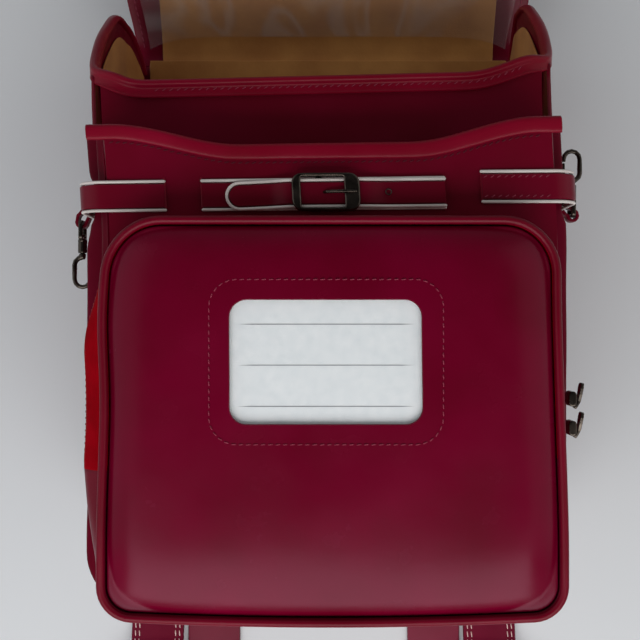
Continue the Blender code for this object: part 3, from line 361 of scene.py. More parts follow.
def correctedLeather(name, dark, light, roughness, grain=0.9, depth=0.07, gloss=0.16):
    # corrected and pressed cowhide: a pigmented, semi-gloss skin with fine pebbles about a millimetre apart,
    # slightly lighter where it is stretched, and duller patches from handling
    made, tree, shader, place = newMaterial(name, Roughness=roughness, Specular_IOR_Level=gloss)
    patches = addNode(tree, "ShaderNodeTexNoise", {"Scale": 18.0, "Detail": 3.0}, {"Vector": place})
    colourBetween(tree, shader, (patches, "Fac"), dark, light)
    dull = addNode(tree, "ShaderNodeTexNoise", {"Scale": 45.0, "Detail": 4.0}, {"Vector": place})
    spread = addNode(tree, "ShaderNodeMapRange", {"To Min": roughness - 0.05, "To Max": roughness + 0.08},
                     {"Value": (dull, "Fac")})
    tree.links.new(spread.outputs["Result"], shader.inputs["Roughness"])
    pebbles = addNode(tree, "ShaderNodeTexVoronoi", {"Scale": 1000.0 / grain}, {"Vector": place})
    creases = addNode(tree, "ShaderNodeTexNoise", {"Scale": 160.0, "Detail": 5.0}, {"Vector": place})
    fine = addNode(tree, "ShaderNodeBump", {"Strength": depth, "Distance": 0.0002},
                   {"Height": (pebbles, "Distance")})
    broad = addNode(tree, "ShaderNodeBump", {"Strength": depth * 1.2, "Distance": 0.0006},
                    {"Height": (creases, "Fac"), "Normal": (fine, "Normal")})
    tree.links.new(broad.outputs["Normal"], shader.inputs["Normal"])
    return made


def liningSplit(name):
    # tan pigskin split: matt, with pores in groups and a soft uneven tone
    made, tree, shader, place = newMaterial(name, Roughness=0.78, Sheen_Weight=0.1)
    tone = addNode(tree, "ShaderNodeTexNoise", {"Scale": 30.0, "Detail": 4.0}, {"Vector": place})
    colourBetween(tree, shader, (tone, "Fac"), "#a4662a", "#c88a44")
    pores = addNode(tree, "ShaderNodeTexVoronoi", {"Scale": 520.0}, {"Vector": place})
    bump = addNode(tree, "ShaderNodeBump", {"Strength": 0.18, "Distance": 0.0003},
                   {"Height": (pores, "Distance")})
    tree.links.new(bump.outputs["Normal"], shader.inputs["Normal"])
    return made


def wovenTape(name):
    # polyester zip tape: herringbone rows about 0.8 mm apart, drawn with two crossing waves
    made, tree, shader, place = newMaterial(name, Roughness=0.85, Specular_IOR_Level=0.03)
    tone = addNode(tree, "ShaderNodeTexNoise", {"Scale": 60.0}, {"Vector": place})
    colourBetween(tree, shader, (tone, "Fac"), "#80000a", "#980010")
    warp = addNode(tree, "ShaderNodeTexWave", {"Scale": 400.0, "bands_direction": "X"}, {"Vector": place})
    weft = addNode(tree, "ShaderNodeTexWave", {"Scale": 400.0, "bands_direction": "Z"}, {"Vector": place})
    both = addNode(tree, "ShaderNodeMath", {"operation": "MULTIPLY"}, {0: (warp, "Fac"), 1: (weft, "Fac")})
    bump = addNode(tree, "ShaderNodeBump", {"Strength": 0.3, "Distance": 0.0003}, {"Height": (both, "Value")})
    tree.links.new(bump.outputs["Normal"], shader.inputs["Normal"])
    return made


def mouldedPlastic(name, dark, light, roughness):
    # extruded soft PVC edging: even and slightly glossy, a little grubby in patches
    made, tree, shader, place = newMaterial(name, Roughness=roughness, IOR=1.53)
    tone = addNode(tree, "ShaderNodeTexNoise", {"Scale": 55.0, "Detail": 3.0}, {"Vector": place})
    colourBetween(tree, shader, (tone, "Fac"), dark, light)
    bump = addNode(tree, "ShaderNodeBump", {"Strength": 0.08, "Distance": 0.0002}, {"Height": (tone, "Fac")})
    tree.links.new(bump.outputs["Normal"], shader.inputs["Normal"])
    return made


def platedZinc(name, dark, light, roughness):
    # tumbled zinc alloy, plated gunmetal: soft dark mirror with cloudy wear
    made, tree, shader, place = newMaterial(name, Metallic=1.0, Roughness=roughness)
    tone = addNode(tree, "ShaderNodeTexNoise", {"Scale": 120.0, "Detail": 5.0}, {"Vector": place})
    colourBetween(tree, shader, (tone, "Fac"), dark, light)
    wear = addNode(tree, "ShaderNodeMapRange", {"To Min": roughness - 0.06, "To Max": roughness + 0.12},
                   {"Value": (tone, "Fac")})
    tree.links.new(wear.outputs["Result"], shader.inputs["Roughness"])
    return made


def clearVinyl(name, waviness, haze, highlightStreakAlpha):
    # soft clear PVC sheet: lets nearly all light through, with a faint haze and wavy gloss; narrow whiter streaks
    # where the wave noise passes its middle are painted highlights, standing in for the sheet's wavy glare
    made, tree, shader, place = newMaterial(name, Roughness=0.12, IOR=1.53, Alpha=haze)
    shader.inputs["Base Color"].default_value = linear("#e4e0dc")
    waves = addNode(tree, "ShaderNodeTexNoise", {"Scale": 15.0, "Detail": 2.0, "Distortion": 1.0},
                    {"Vector": place})
    bump = addNode(tree, "ShaderNodeBump", {"Strength": waviness, "Distance": 0.002}, {"Height": (waves, "Fac")})
    tree.links.new(bump.outputs["Normal"], shader.inputs["Normal"])
    # painted highlight: where the wave noise is near its middle the sheet is made more opaque in its near-white
    # colour, so light streaks show over what lies behind
    if highlightStreakAlpha:
        highlightStreaks = addNode(tree, "ShaderNodeValToRGB", {}, {"Fac": (waves, "Fac")})
        for stop, at in zip(highlightStreaks.color_ramp.elements, (0.44, 0.56)):
            stop.position = at
            stop.color = (haze, haze, haze, 1)
        ridge = highlightStreaks.color_ramp.elements.new(0.5)
        ridge.color = (highlightStreakAlpha, highlightStreakAlpha, highlightStreakAlpha, 1)
        tree.links.new(highlightStreaks.outputs["Color"], shader.inputs["Alpha"])
    return made


def spunThread(name, dark, light):
    # bonded polyester thread: three plies show as fine diagonal bands 0.5 mm apart
    made, tree, shader, place = newMaterial(name, Roughness=0.6, Specular_IOR_Level=0.2)
    plies = addNode(tree, "ShaderNodeTexWave", {"Scale": 600.0, "bands_direction": "DIAGONAL"}, {"Vector": place})
    colourBetween(tree, shader, (plies, "Fac"), dark, light, 0.2, 0.8)
    return made


def cardPaper(name):
    # uncoated card behind the film: cool white with a faint fibre
    made, tree, shader, place = newMaterial(name, Roughness=0.7)
    fibre = addNode(tree, "ShaderNodeTexNoise", {"Scale": 240.0, "Detail": 6.0}, {"Vector": place})
    colourBetween(tree, shader, (fibre, "Fac"), "#dfe5e8", "#e9edef")
    return made


leather = correctedLeather("correctedLeather", "#600016", "#6e0020", 0.34)
leatherPanel = correctedLeather("crownedPanelLeather", "#5c0018", "#6a0022", 0.24, gloss=0.22)
leatherPanel.node_tree.nodes["Principled BSDF"].inputs["Specular Tint"].default_value = linear("#ffd4ea")
# painted shade: the pleated gusset gets a darker copy of the body leather, standing in for the shade in its recessed
# folds; it is also rougher and less glossy
leatherPleatPaintedShade = correctedLeather("pleatedLeatherPaintedShade", "#560014", "#66001e", 0.5, gloss=0.05)
# painted highlight: the rolled edges and the slit lips get a lighter copy of the body leather, standing in for the
# light that their rounded tops catch
leatherRollPaintedHighlight = correctedLeather("rolledLeatherEdgePaintedHighlight", "#720219", "#820324", 0.34, grain=0.8)
leatherPiping = correctedLeather("leatherPiping", "#5e0014", "#6e021e", 0.30, grain=0.7)
leatherDull = correctedLeather("paddedLeather", "#640a24", "#781532", 0.42, grain=1.2, depth=0.14)
liningTan = liningSplit("tanPigskinLining")
zipRed = wovenTape("redZipTape")
edgeWhite = mouldedPlastic("offWhitePvcEdging", "#cfc5bf", "#e2dad4", 0.42)
gunmetal = platedZinc("gunmetalPlatedZinc", "#3b3530", "#5f564e", 0.24)
zipCoil = mouldedPlastic("redNylonTeeth", "#6a000c", "#800410", 0.6)
# the last number is how opaque the painted highlight streaks are; the card's window sheet gets none
clearSheet = clearVinyl("clearPvcSheet", 0.5, 0.05, 0.14)
flatSheet = clearVinyl("stretchedPvcSheet", 0.03, 0.07, 0.0)
threadRed = spunThread("crimsonThread", "#7a1c32", "#9a4054")
threadDark = spunThread("darkCrimsonThread", "#480a1a", "#641828")
threadPale = spunThread("paleThread", "#d8b4ac", "#efd6d0")
paper = cardPaper("cardPaper")
inkGrey = mouldedPlastic("greyRuling", "#70757a", "#868b90", 0.7)
print("materials made")


def declare(made, slot, *nodes):
    # hides the nodes that the piece dresses and returns the piece; the slot is not used
    if nodes:
        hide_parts(*nodes)
    return made


# back
back = {"half": 121.0, "bottom": -145.0, "top": 162.0, "corner": 24.0, "topCorner": 2.5,
        "z": 14.3, "thick": 3.7, "padZ": 4.3, "padThick": 9.7, "padInset": 7.0, "padCorner": 26.0}


def backOutline(inset, radii):
    # the back's rounded outline, moved inwards
    corners = boxCorners(inset - back["half"], back["half"] - inset, back["bottom"] + inset, back["top"] - inset)
    return evenOutline(corners, radii, 220, closed=True)[0]


def backPieces():
    # the panel's edge is rounded by five rings
    rings = []
    for inset, share in ((1.4, 0.0), (0.3, 0.2), (0.0, 0.5), (0.3, 0.8), (1.4, 1.0)):
        line = backOutline(inset, (back["corner"],) * 2 + (back["topCorner"],) * 2)
        rings.append(np.column_stack((line, np.full(len(line), back["z"] + share * back["thick"]))))
    declare(loftPiece("backPanel", rings, leather), "leather", "back_panel")
    rings = []
    # crowned pad: an ellipse carried round its outline, deepest in the middle
    for turn in np.linspace(-90, 90, 19):
        a = math.radians(turn)
        edge = back["padInset"] + 11.0 * (1 - math.cos(a))
        line = backOutline(edge, (back["padCorner"],) * 4)
        z = back["padZ"] + back["padThick"] * (0.5 + 0.5 * math.sin(a))
        rings.append(np.column_stack((line, np.full(len(line), z))))
    pad = declare(loftPiece("backPad", rings, leatherDull), "leather_inside", "back_pad")


# main compartment
main = {"half": 121.0, "corner": 24.0, "z": 18.3, "depth": 109.4, "wall": 2.2, "swell": 3.5, "mouth": 121.5,
        "earHeight": 62.9, "lining": 1.2, "border": 12.0, "gap": 0.3, "frontZ": 128.0,
        "climbs": ((10.0, 0.82, 1.12), (11.5, 0.66, 1.1)), "bandHalf": 119.5, "frontHalf": 118.2,
        "bandEnd": 112.0, "bandZ": 131.5, "softenRounds": 44}
earShares = (0.0, 0.06, 0.12, 0.20, 0.29, 0.40, 0.58, 0.74, 0.88, 1.0)
earHeights = (0.54, 0.68, 0.83, 0.97, 1.0, 0.99, 0.83, 0.62, 0.39, 0.20)
earLevels = (18.0, 27.0, 30.0, 35.0, 40.0, 45.0, 60.0, 85.0, 100.0, 115.0, 130.0)
earOuts = (-2.4, -2.0, -1.2, 0.2, 1.2, 2.0, 3.2, 4.2, 5.2, 4.7, 2.4)


def wallGrid(ends, levels, outs, half, bottom, corner, sideSteps=70, cornerSteps=14, bottomSteps=60):
    # side walls and bottom: down the left side, round the bottom, up the right side, for each level
    ends, levels, outs = (np.asarray(v, float)[:, None] for v in (ends, levels, outs))
    down = np.linspace(0, 1, sideSteps)[None, :]
    turn = np.linspace(0, 1, cornerSteps)[1:-1][None, :] * math.pi / 2
    ones = np.ones_like(ends)
    leftY = ends + (bottom + corner - ends) * down
    flatX = (corner - half) + (2 * half - 2 * corner) * np.linspace(0, 1, bottomSteps)[None, :]
    x = np.concatenate((-half * np.ones_like(leftY), (corner - half - corner * np.cos(turn)) * ones, flatX * ones,
                        (half - corner + corner * np.sin(turn)) * ones, half * np.ones_like(leftY)), axis=1)
    y = np.concatenate((leftY, (bottom + corner - corner * np.sin(turn)) * ones,
                        bottom * np.ones_like(flatX) * ones,
                        (bottom + corner - corner * np.cos(turn)) * ones, leftY[:, ::-1]), axis=1)
    nx = np.concatenate((-np.ones_like(leftY), -np.cos(turn) * ones, 0 * flatX * ones, np.sin(turn) * ones,
                         np.ones_like(leftY)), axis=1)
    ny = np.concatenate((0 * leftY, -np.sin(turn) * ones, -np.ones_like(flatX) * ones, -np.cos(turn) * ones,
                         0 * leftY), axis=1)
    normals = np.stack((nx, ny, np.zeros_like(nx)), axis=-1)
    points = np.stack((x, y, levels * np.ones_like(x)), axis=-1)
    return points + normals * outs[..., None], normals


def earEnd(share):
    # how high the ears reach, from the back panel (0) to the front wall (1)
    return main["mouth"] + main["earHeight"] * throughPoints(share, earShares, earHeights)


def sideSwell(share):
    # full from a third of the depth on, and still proud of the front wall at the front
    share = np.asarray(share, float)
    return main["swell"] * (1.0 - np.maximum(1.0 - 2.4 * share, 0) ** 2) - 0.6 * smoothStep(0.8, 1.0, share)


def earBelly(points):
    # above the mouth the ears' own curve takes over from the side walls' swelling: in at the back, out at
    # the front
    share = (points[..., 2] - main["z"]) / main["depth"]
    own = throughPoints(points[..., 2], earLevels, earOuts)
    return (own - sideSwell(share)) * smoothStep(105.0, 140.0, points[..., 1])


def mouthBandLine(x):
    # the left end climbs late, the right end early
    left, right = (mouthLine(x, main["mouth"] + 4.7, *climb, main["bandHalf"]) for climb in main["climbs"])
    return np.where(np.asarray(x) < 0, left, right)


def mainPieces():
    shares = np.linspace(0, 1, 56)
    outer, normals = wallGrid(earEnd(shares), main["z"] + main["depth"] * shares, sideSwell(shares), main["half"],
                              bodyBottom, main["corner"])
    dents = 0.5 * ripples(outer, 60.0, 4)[..., None] * np.sin(shares * math.pi)[:, None, None]
    outer = outer + normals * (np.minimum(dents, 0.3) + earBelly(outer)[..., None])
    piece = sheetPiece("bodySide", outer, outer - normals * main["wall"], leather, soft=True)
    declare(piece, "leather", "main_gusset")

    inset = main["wall"] + 2 * main["gap"]
    lift = (main["lining"] + main["gap"]) / main["depth"]
    shares = np.linspace(lift, 0.8, 40)
    border = main["border"] + 3.0 * smoothStep(0.5, 0.8, shares)
    lined, normals = wallGrid(earEnd(shares) - border, main["z"] + main["depth"] * shares,
                              sideSwell(shares) - inset, main["half"], bodyBottom, main["corner"])
    waves = 0.35 * np.minimum(ripples(lined, 34.0, 9), 0.2)[..., None]
    lined = lined + normals * (waves - 0.1 + earBelly(lined)[..., None])
    piece = sheetPiece("liningSides", lined, lined - normals * main["lining"], liningTan, soft=True)
    declare(piece, "lining_tan", "lining_sides")

    half = main["half"] - inset - 5.0
    grid = flatPanel(half, bodyBottom + inset, main["corner"] - inset,
                     lambda x: 0 * x + body["backTop"] + 3.0, 60, 80)
    grid[..., 2] = main["z"] + main["lining"] + 0.15 * ripples(grid, 50.0, 3)
    under = grid.copy()
    under[..., 2] = main["z"]
    declare(sheetPiece("liningBack", grid, under, liningTan), "lining_tan", "lining_back")

    # front wall: its upper edge follows the roll's underside
    grid = flatPanel(main["frontHalf"], bodyBottom, main["corner"], lambda x: mouthBandLine(x) - 4.4, 120, 90)
    grid[..., 2] = main["frontZ"] + main["wall"] + 0.12 * ripples(grid, 55.0, 8)
    under = grid.copy()
    under[..., 2] = main["frontZ"]
    declare(sheetPiece("frontWall", grid, under, leather, soft=True), "leather", "main_front_wall")


def flatPanel(half, bottom, corner, topLine, across, along):
    # columns from side to side, rows from the rounded bottom to a given top line
    x = half * np.sin(np.linspace(-math.pi / 2, math.pi / 2, across))
    past = np.clip(np.abs(x) - (half - corner), 0, corner)
    low = bottom + corner - np.sqrt(np.maximum(corner * corner - past * past, 0.0))
    share = np.linspace(0, 1, along)[:, None]
    y = low + (topLine(x) - low) * share
    return np.stack((np.broadcast_to(x, y.shape), y, np.zeros_like(y)), axis=-1)


def mouthLine(x, middle, rise, start, end, half):
    # level in the middle, rising smoothly towards each side
    share = smoothStep(start, end, np.abs(x) / half) / smoothStep(start, end, 1.0)
    return middle + rise * share


def mouthBinding():
    # one rolled binding: up and over each ear's edge, then across the mouth as a wider stitched band
    shares = np.linspace(0.01, 0.99, 84)
    ear = np.stack((-(main["half"] + sideSwell(shares) - main["wall"] / 2), earEnd(shares),
                    main["z"] + main["depth"] * shares), axis=1)
    ear[:, 0] -= earBelly(ear)
    x = np.linspace(-main["bandEnd"], main["bandEnd"], 120)
    band = np.stack((x, mouthBandLine(x), np.full(len(x), main["bandZ"])), axis=1)
    line = resample(np.concatenate((ear, band, ear[::-1] * np.array((-1, 1, 1)))), 520)
    for _ in range(main["softenRounds"]):
        line[1:-1] = (line[:-2] + 2 * line[1:-1] + line[2:]) / 4
    # share of the band's section: none on the ear, all a little way past the corner where the ear ends
    marks = np.concatenate(([0.0], np.cumsum(np.linalg.norm(np.diff(line, axis=0), axis=1))))
    earLength = np.linalg.norm(np.diff(ear, axis=0), axis=1).sum()
    wide = smoothStep(earLength - 20.0, earLength + 14.0, np.minimum(marks, marks[-1] - marks))
    outward = np.stack((np.sign(line[:, 0]) * (1 - wide), 0 * wide, wide + 0.05), axis=1)
    outward /= np.linalg.norm(outward, axis=1)[:, None]
    side, up = sideAndUp(line, outward)
    side = -side                                       # positive across points to the bag's top
    # ear: an oval fold; band: a roll along the top, a flat strip below it and a thin raised lip
    corner = smoothStep(60.0, 118.0, line[:, 2])[:, None, None]
    oval = ovalSection(2.2, 2.6, 40)
    thin = oval * (1.0 + 0.4 * corner * np.array((1.0, 0.0)))
    # the fold is wide on the ear's inner side and runs out towards the back panel
    broad = 0.5 * smoothStep(24.0, 62.0, line[:, 2])[:, None]
    thin[..., 1] = oval[:, 1] * (1.0 + broad * (oval[:, 1] < 0))
    top = np.array(((-5.4, 0.2), (-5.25, 1.75), (-4.8, 2.05), (-4.3, 1.7), (-3.2, 1.35), (-1.2, 1.3), (0.0, 1.45),
                    (0.7, 2.3), (1.7, 3.15), (2.8, 3.3), (3.8, 2.8), (4.5, 1.7), (4.75, 0.2)))
    under = np.array(((4.4, -1.8), (3.2, -3.0), (0.0, -3.3), (-3.2, -3.0), (-4.9, -1.8)))
    thick = resample(np.concatenate((top, under, top[:1])), 41)[:-1][::-1]
    start = int(np.argmax(thick[:, 0]))
    thick = np.roll(thick, -start, axis=0)
    sections = thin * (1 - wide)[:, None, None] + thick * wide[:, None, None]
    rings = sectionRings(line, sections, side, up, 1.0)
    rings[..., 2] += 0.12 * ripples(rings, 26.0, 19)
    declare(loftPiece("mouthBinding", rings, leatherRollPaintedHighlight, soft=True), "leather", "main_rim")
    inBand = (line[:, 0] > -90.0) & (line[:, 0] < 108.0)
    row = line[inBand] - side[inBand] * 1.2 + up[inBand] * 1.5
    declare(stitchPiece("mouthStitches", [row], (0, 0, 1), threadRed, length=2.5, pitch=3.9, radius=0.3, slant=32,
                        soft=True), "leather")


# second compartment
second = {"half": 117.5, "wallHalf": 114.5, "bottom": -143.5, "corner": 21.0, "z": 130.5, "depth": 34.0,
          "wallZ": 164.8, "wall": 2.2, "pleat": 5.6, "thick": 1.7, "mouth": 82.7, "rise": 11.5, "rimHalf": 119.6,
          "wallLeft": -110.8, "rimZ": 165.8, "stitchZ": 167.1}
slit = {"x": (-82.0, -63.3, 58.6, 77.6), "z": 167.2, "reach": 8.2, "radius": 0.6}
pleatShares = (0.0, 0.13, 0.27, 0.40, 0.50, 0.60, 0.72, 0.84, 0.93, 1.0)
pleatOuts = (0.0, 0.55, 1.0, 0.55, -0.9, -1.0, -0.1, -0.7, -1.2, -0.9)
pleatFull = 1.9            # how much further the lower pleat stands out away from the belt


def secondLine(x):
    return mouthLine(x, second["mouth"] + 3.4, second["rise"], 0.36, 0.9, second["rimHalf"])


def secondPieces():
    shares = np.linspace(0, 1, 46)
    ends = np.full(len(shares), float(secondLine(np.array(120.0))) + 1.0)
    pleats = throughPoints(shares, pleatShares, pleatOuts)
    outer, normals = wallGrid(ends, second["z"] + second["depth"] * shares, second["pleat"] * pleats,
                              second["half"], second["bottom"], second["corner"])
    slack = 0.5 * ripples(outer, 40.0, 12) * np.sin(shares * math.pi)[:, None]
    free = 1.0 - smoothStep(13.0, 9.0, np.abs(outer[..., 1] - 64.5))
    # the left side's lower pleat is fullest below the belt
    below = 3.0 * smoothStep(55.0, 35.0, outer[..., 1]) * (outer[..., 0] < 0)
    full = (pleatFull + below) * free * np.maximum(pleats, 0.0)[:, None] ** 2
    outer = outer + normals * (np.minimum(slack, 0.25) + full)[..., None]
    piece = sheetPiece("pleatedGusset", outer, outer - normals * second["thick"], leatherPleatPaintedShade, soft=True)
    declare(piece, "leather", "second_gusset")

    # the wall reaches less far on its left, where the pleats show beside it
    middle = (second["wallLeft"] + second["wallHalf"]) / 2
    grid = flatPanel((second["wallHalf"] - second["wallLeft"]) / 2, bodyBottom, 20.0,
                     lambda x: secondLine(x + middle) - 2.2, 110, 110)
    grid[..., 0] += middle
    grid[..., 2] = second["wallZ"] + second["wall"] + 0.12 * ripples(grid, 48.0, 15)
    under = grid.copy()
    under[..., 2] = second["wallZ"]
    declare(sheetPiece("secondWall", grid, under, leather, soft=True), "leather", "second_wall")

    x = np.linspace(-second["rimHalf"], second["rimHalf"], 160)
    line = np.stack((x, secondLine(x), np.full(len(x), second["rimZ"])), axis=1)
    side, up = sideAndUp(line, (0, 0, 1))
    side = -side
    # turned edge: round at the top, running out flat on the wall below
    roll = np.array(((3.3, 0.0), (3.0, 1.3), (2.2, 2.2), (0.9, 2.6), (-1.0, 2.55), (-3.0, 2.35), (-4.6, 1.95),
                     (-5.1, 1.45), (-4.9, -1.2), (-2.0, -2.6), (1.0, -2.9), (2.6, -2.0)))
    roll = resample(np.concatenate((roll, roll[:1])), 29)[:-1]
    wrinkled = sectionRings(line, roll, side, up, 0.5)
    wrinkled[..., 2] += 0.15 * ripples(wrinkled, 22.0, 17)
    declare(loftPiece("secondRoll", wrinkled, leatherRollPaintedHighlight, soft=True), "leather", "second_rim")
    inside = np.abs(x) < second["wallHalf"] - 4
    row = np.stack((x[inside], secondLine(x[inside]) - 6.6, np.full(inside.sum(), second["stitchZ"])), axis=1)
    declare(stitchPiece("secondStitches", [row], (0, 0, 1), threadDark, length=2.4, pitch=3.4, radius=0.3, slant=20,
                        soft=True), "leather")
    # raised lips of the slits that the belt passes through; the last one sits higher
    for number, x in enumerate(slit["x"]):
        y = belt["y"] + (belt["rise"] if number == 3 else 0.0)
        line = [(x, y - slit["reach"], slit["z"]), (x, y, slit["z"]), (x, y + slit["reach"], slit["z"])]
        declare(rodPiece(f"slitLip{number}", resample(line, 9), slit["radius"], leatherRollPaintedHighlight, soft=True), "leather")


# front pocket
pocket = {"x": 1.0, "half": 110.0, "bottom": -142.6, "top": 48.0, "topCorner": 26.0, "lowCorner": 14.0,
          "wall": 1.7, "pipingZ": 190.9, "z": 167.3, "depth": 21.5,
          "crown": 8.0, "fade": 10.0, "piping": 2.1, "taper": 2.0,
          "spread": 1.6, "sag": 3.2, "bow": 2.6, "slumpLeft": 10.2, "slumpRight": 2.5, "slumpTop": 2.5,
          "zipLeft": -73.0, "zipRight": -67.0}
window = {"x": -2.1, "y": -20.0, "width": 93.0, "height": 60.0, "corner": 8.5, "margin": 2.5}
slumpShares = (0.0, 0.2, 0.42, 0.58, 0.8, 1.0)
slumpOuts = (0.0, 0.62, 1.0, 1.0, 0.62, 0.0)


def settle(points):
    # the filled pocket is a little narrower at its top, wider at its bottom, its lower edge hangs in the middle
    # and its left edge bows outwards halfway down the side
    points = np.array(points, float)
    x, y = points[..., 0], points[..., 1]
    narrow = pocket["taper"] * smoothStep(-70.0, 20.0, y) - pocket["spread"] * smoothStep(-40.0, -115.0, y)
    sag = pocket["sag"] * (1.0 - np.minimum(np.abs(x) / pocket["half"], 1.0) ** 2) * smoothStep(-90.0, -146.0, y)
    bow = pocket["bow"] * np.exp(-((y - 2.0) / 30.0) ** 2) * smoothStep(-20.0, -100.0, x)
    points[..., 0] = x - narrow * x / pocket["half"] - bow
    points[..., 1] = y - sag
    return points


def pocketSlump(points):
    # how far the full pocket's wall bulges: most on the left, little at the top
    x, y = points[..., 0], points[..., 1]
    left = pocket["slumpLeft"] * smoothStep(0.5, 0.95, -x / pocket["half"])
    right = pocket["slumpRight"] * smoothStep(0.5, 0.95, x / pocket["half"])
    low = 1.0 - 0.75 * smoothStep(0.45, 0.95, y / pocket["bottom"])
    high = 1.0 - smoothStep(-0.35, 0.6, y / pocket["top"])
    top = pocket["slumpTop"] * 0.5
    return top + (left + right) * low * (0.1 + 0.9 * high) + top * (1 - high)


def pocketWall(name, corners, radii, count, material, slot, node, seed):
    # a wall carried round an outline; its profile bulges by the slump, with a seeded ripple
    line, normals = evenOutline(corners, radii, count)
    shares = np.linspace(0, 1, 26)
    out = pocketSlump(line)[None, :] * throughPoints(shares, slumpShares, slumpOuts)[:, None]
    z = pocket["z"] + pocket["depth"] * shares
    points = np.stack((line[None, :, 0] + pocket["x"] + normals[None, :, 0] * out,
                       line[None, :, 1] + normals[None, :, 1] * out,
                       np.broadcast_to(z[:, None], out.shape)), axis=-1)
    ways = np.broadcast_to(np.column_stack((normals, np.zeros(len(normals)))), points.shape)
    points = points + ways * (np.minimum(ripples(points, 30.0, seed), 0.2) * 0.4
                              * np.sin(shares * math.pi)[:, None])[..., None]
    declare(sheetPiece(name, settle(points), settle(points - ways * pocket["wall"]), material), slot, node)


def panelHeight(inset):
    # the crowned panel rises as 1 - e^(-inset / fade) from its edge
    share = 1.0 - np.exp(-np.maximum(inset, 0.0) / pocket["fade"])
    return pocket["z"] + pocket["depth"] + 1.0 + (pocket["crown"] - 0.4) * share


def pocketInset(points):
    # distance inwards from the nearer sides, blended so that the corners turn softly and show no mitre
    x, y = points[..., 0] - pocket["x"], points[..., 1]
    blend = 11.0
    fromSide = pocket["half"] - np.abs(x)
    fromEnd = np.minimum(pocket["top"] - y, y - pocket["bottom"])
    return -blend * np.log(np.exp(-fromSide / blend) + np.exp(-fromEnd / blend))


def windowLine(margin, count):
    half, tall = window["width"] / 2 + margin, window["height"] / 2 + margin
    return evenOutline(boxCorners(window["x"] - half, window["x"] + half, window["y"] - tall, window["y"] + tall),
                       (window["corner"] + margin / 2,) * 4, count, closed=True)


def zipRun():
    # corners and radii of the zip's line: up the right side, over the top and down the left side
    half, high, corner = pocket["half"], pocket["top"], pocket["topCorner"]
    corners = ((half, pocket["zipRight"]), (half, high), (-half, high), (-half, pocket["zipLeft"]))
    return corners, (0, corner, corner, 0)


def pocketPieces():
    half, low, high = pocket["half"], pocket["bottom"], pocket["top"]
    radii = (pocket["lowCorner"], pocket["lowCorner"], pocket["topCorner"], pocket["topCorner"])
    lowRun = ((-half, pocket["zipLeft"] - 0.3), (-half, low), (half, low), (half, pocket["zipRight"] - 0.3))
    pocketWall("zipTape", *zipRun(), 260, zipRed, "zip_red", "zip_tape", 21)
    pocketWall("pocketSide", lowRun, (0,) + radii[:2] + (0,), 200, leather, "leather", "pocket_gusset", 22)
    zipTeeth()

    line, normals = evenOutline(boxCorners(-half, half, low, high), radii, 320, closed=True)
    centre = line + normals * 0.3
    path = np.column_stack((centre[:, 0] + pocket["x"], centre[:, 1], np.full(len(centre), pocket["pipingZ"])))
    declare(rodPiece("pocketPiping", settle(path), pocket["piping"], leatherPiping, closed=True), "leather",
            "pocket_piping")

    # crowned panel: rings that turn from the pocket's outline into the window's
    count = 320
    edge = pocket["piping"] + 0.6
    outline, _ = evenOutline(boxCorners(edge - half + pocket["x"], half - edge + pocket["x"],
                                        low + edge, high - edge),
                             tuple(r - edge for r in radii), count, closed=True)
    hole, holeNormals = windowLine(0.0, count)
    upper = []
    for share in np.linspace(0, 1, 46) ** 1.7:
        ring = outline * (1 - share) + hole * share
        flat = np.column_stack((ring, np.zeros(count)))
        z = panelHeight(pocketInset(ring) - edge) + 0.28 * ripples(flat, 70.0, 31) * smoothStep(0, 0.3, share)
        upper.append(np.column_stack((ring, z)))
    upper = np.array(upper)
    border = 0.5 * np.exp(-np.linspace(0, 12, 46) ** 2)            # the edge rolls under
    upper[..., 2] -= border[:, None]
    under = upper[::-1].copy()
    under[..., 2] -= pocket["wall"]
    tuck = hole + (-holeNormals) * 0.4
    lip = np.column_stack((tuck, upper[-1, :, 2] - 0.7))
    panel = loftPiece("pocketPanel", settle(np.concatenate((upper, lip[None], under))), leatherPanel, closed=True)
    declare(panel, "leather", "pocket_front")

    # seam round the window: red stitches that follow the crowned panel
    seam, _ = windowLine(9.3, 300)
    seam = np.column_stack((seam, panelHeight(pocketInset(seam) - edge) + 0.15))
    seam = np.concatenate((seam, seam[:1]))
    declare(stitchPiece("windowStitches", [seam], (0, 0, 1), threadRed, length=2.3, pitch=3.5, radius=0.3,
                        slant=6), "leather")

    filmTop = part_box("window_film")[1][2] * 1000
    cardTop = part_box("name_card")[1][2] * 1000
    wide, _ = windowLine(window["margin"], 160)
    for name, top, thick, material, slot, node in (
            ("cardWindow", filmTop, 0.4, flatSheet, "clear_film", "window_film"),
            ("nameCard", cardTop, 0.7, paper, "card_white", "name_card")):
        rings = [np.column_stack((wide * scale + np.array((window["x"], window["y"])) * (1 - scale),
                                  np.full(len(wide), top - thick * drop)))
                 for scale, drop in ((0.998, 1.0), (1.0, 0.5), (0.998, 0.0))]
        declare(loftPiece(name, rings, material), slot, node)
    # three ruled lines
    for number, y in enumerate((-2.0, -21.6, -41.3)):
        line, _ = evenOutline(boxCorners(-44.5, 40.5, y - 0.25, y + 0.25), (0.2,) * 4, 24, closed=True)
        rings = [np.column_stack((line, np.full(24, cardTop + z))) for z in (0.0, 0.05)]
        declare(loftPiece(f"ruledLine{number}", rings, inkGrey), "card_white")


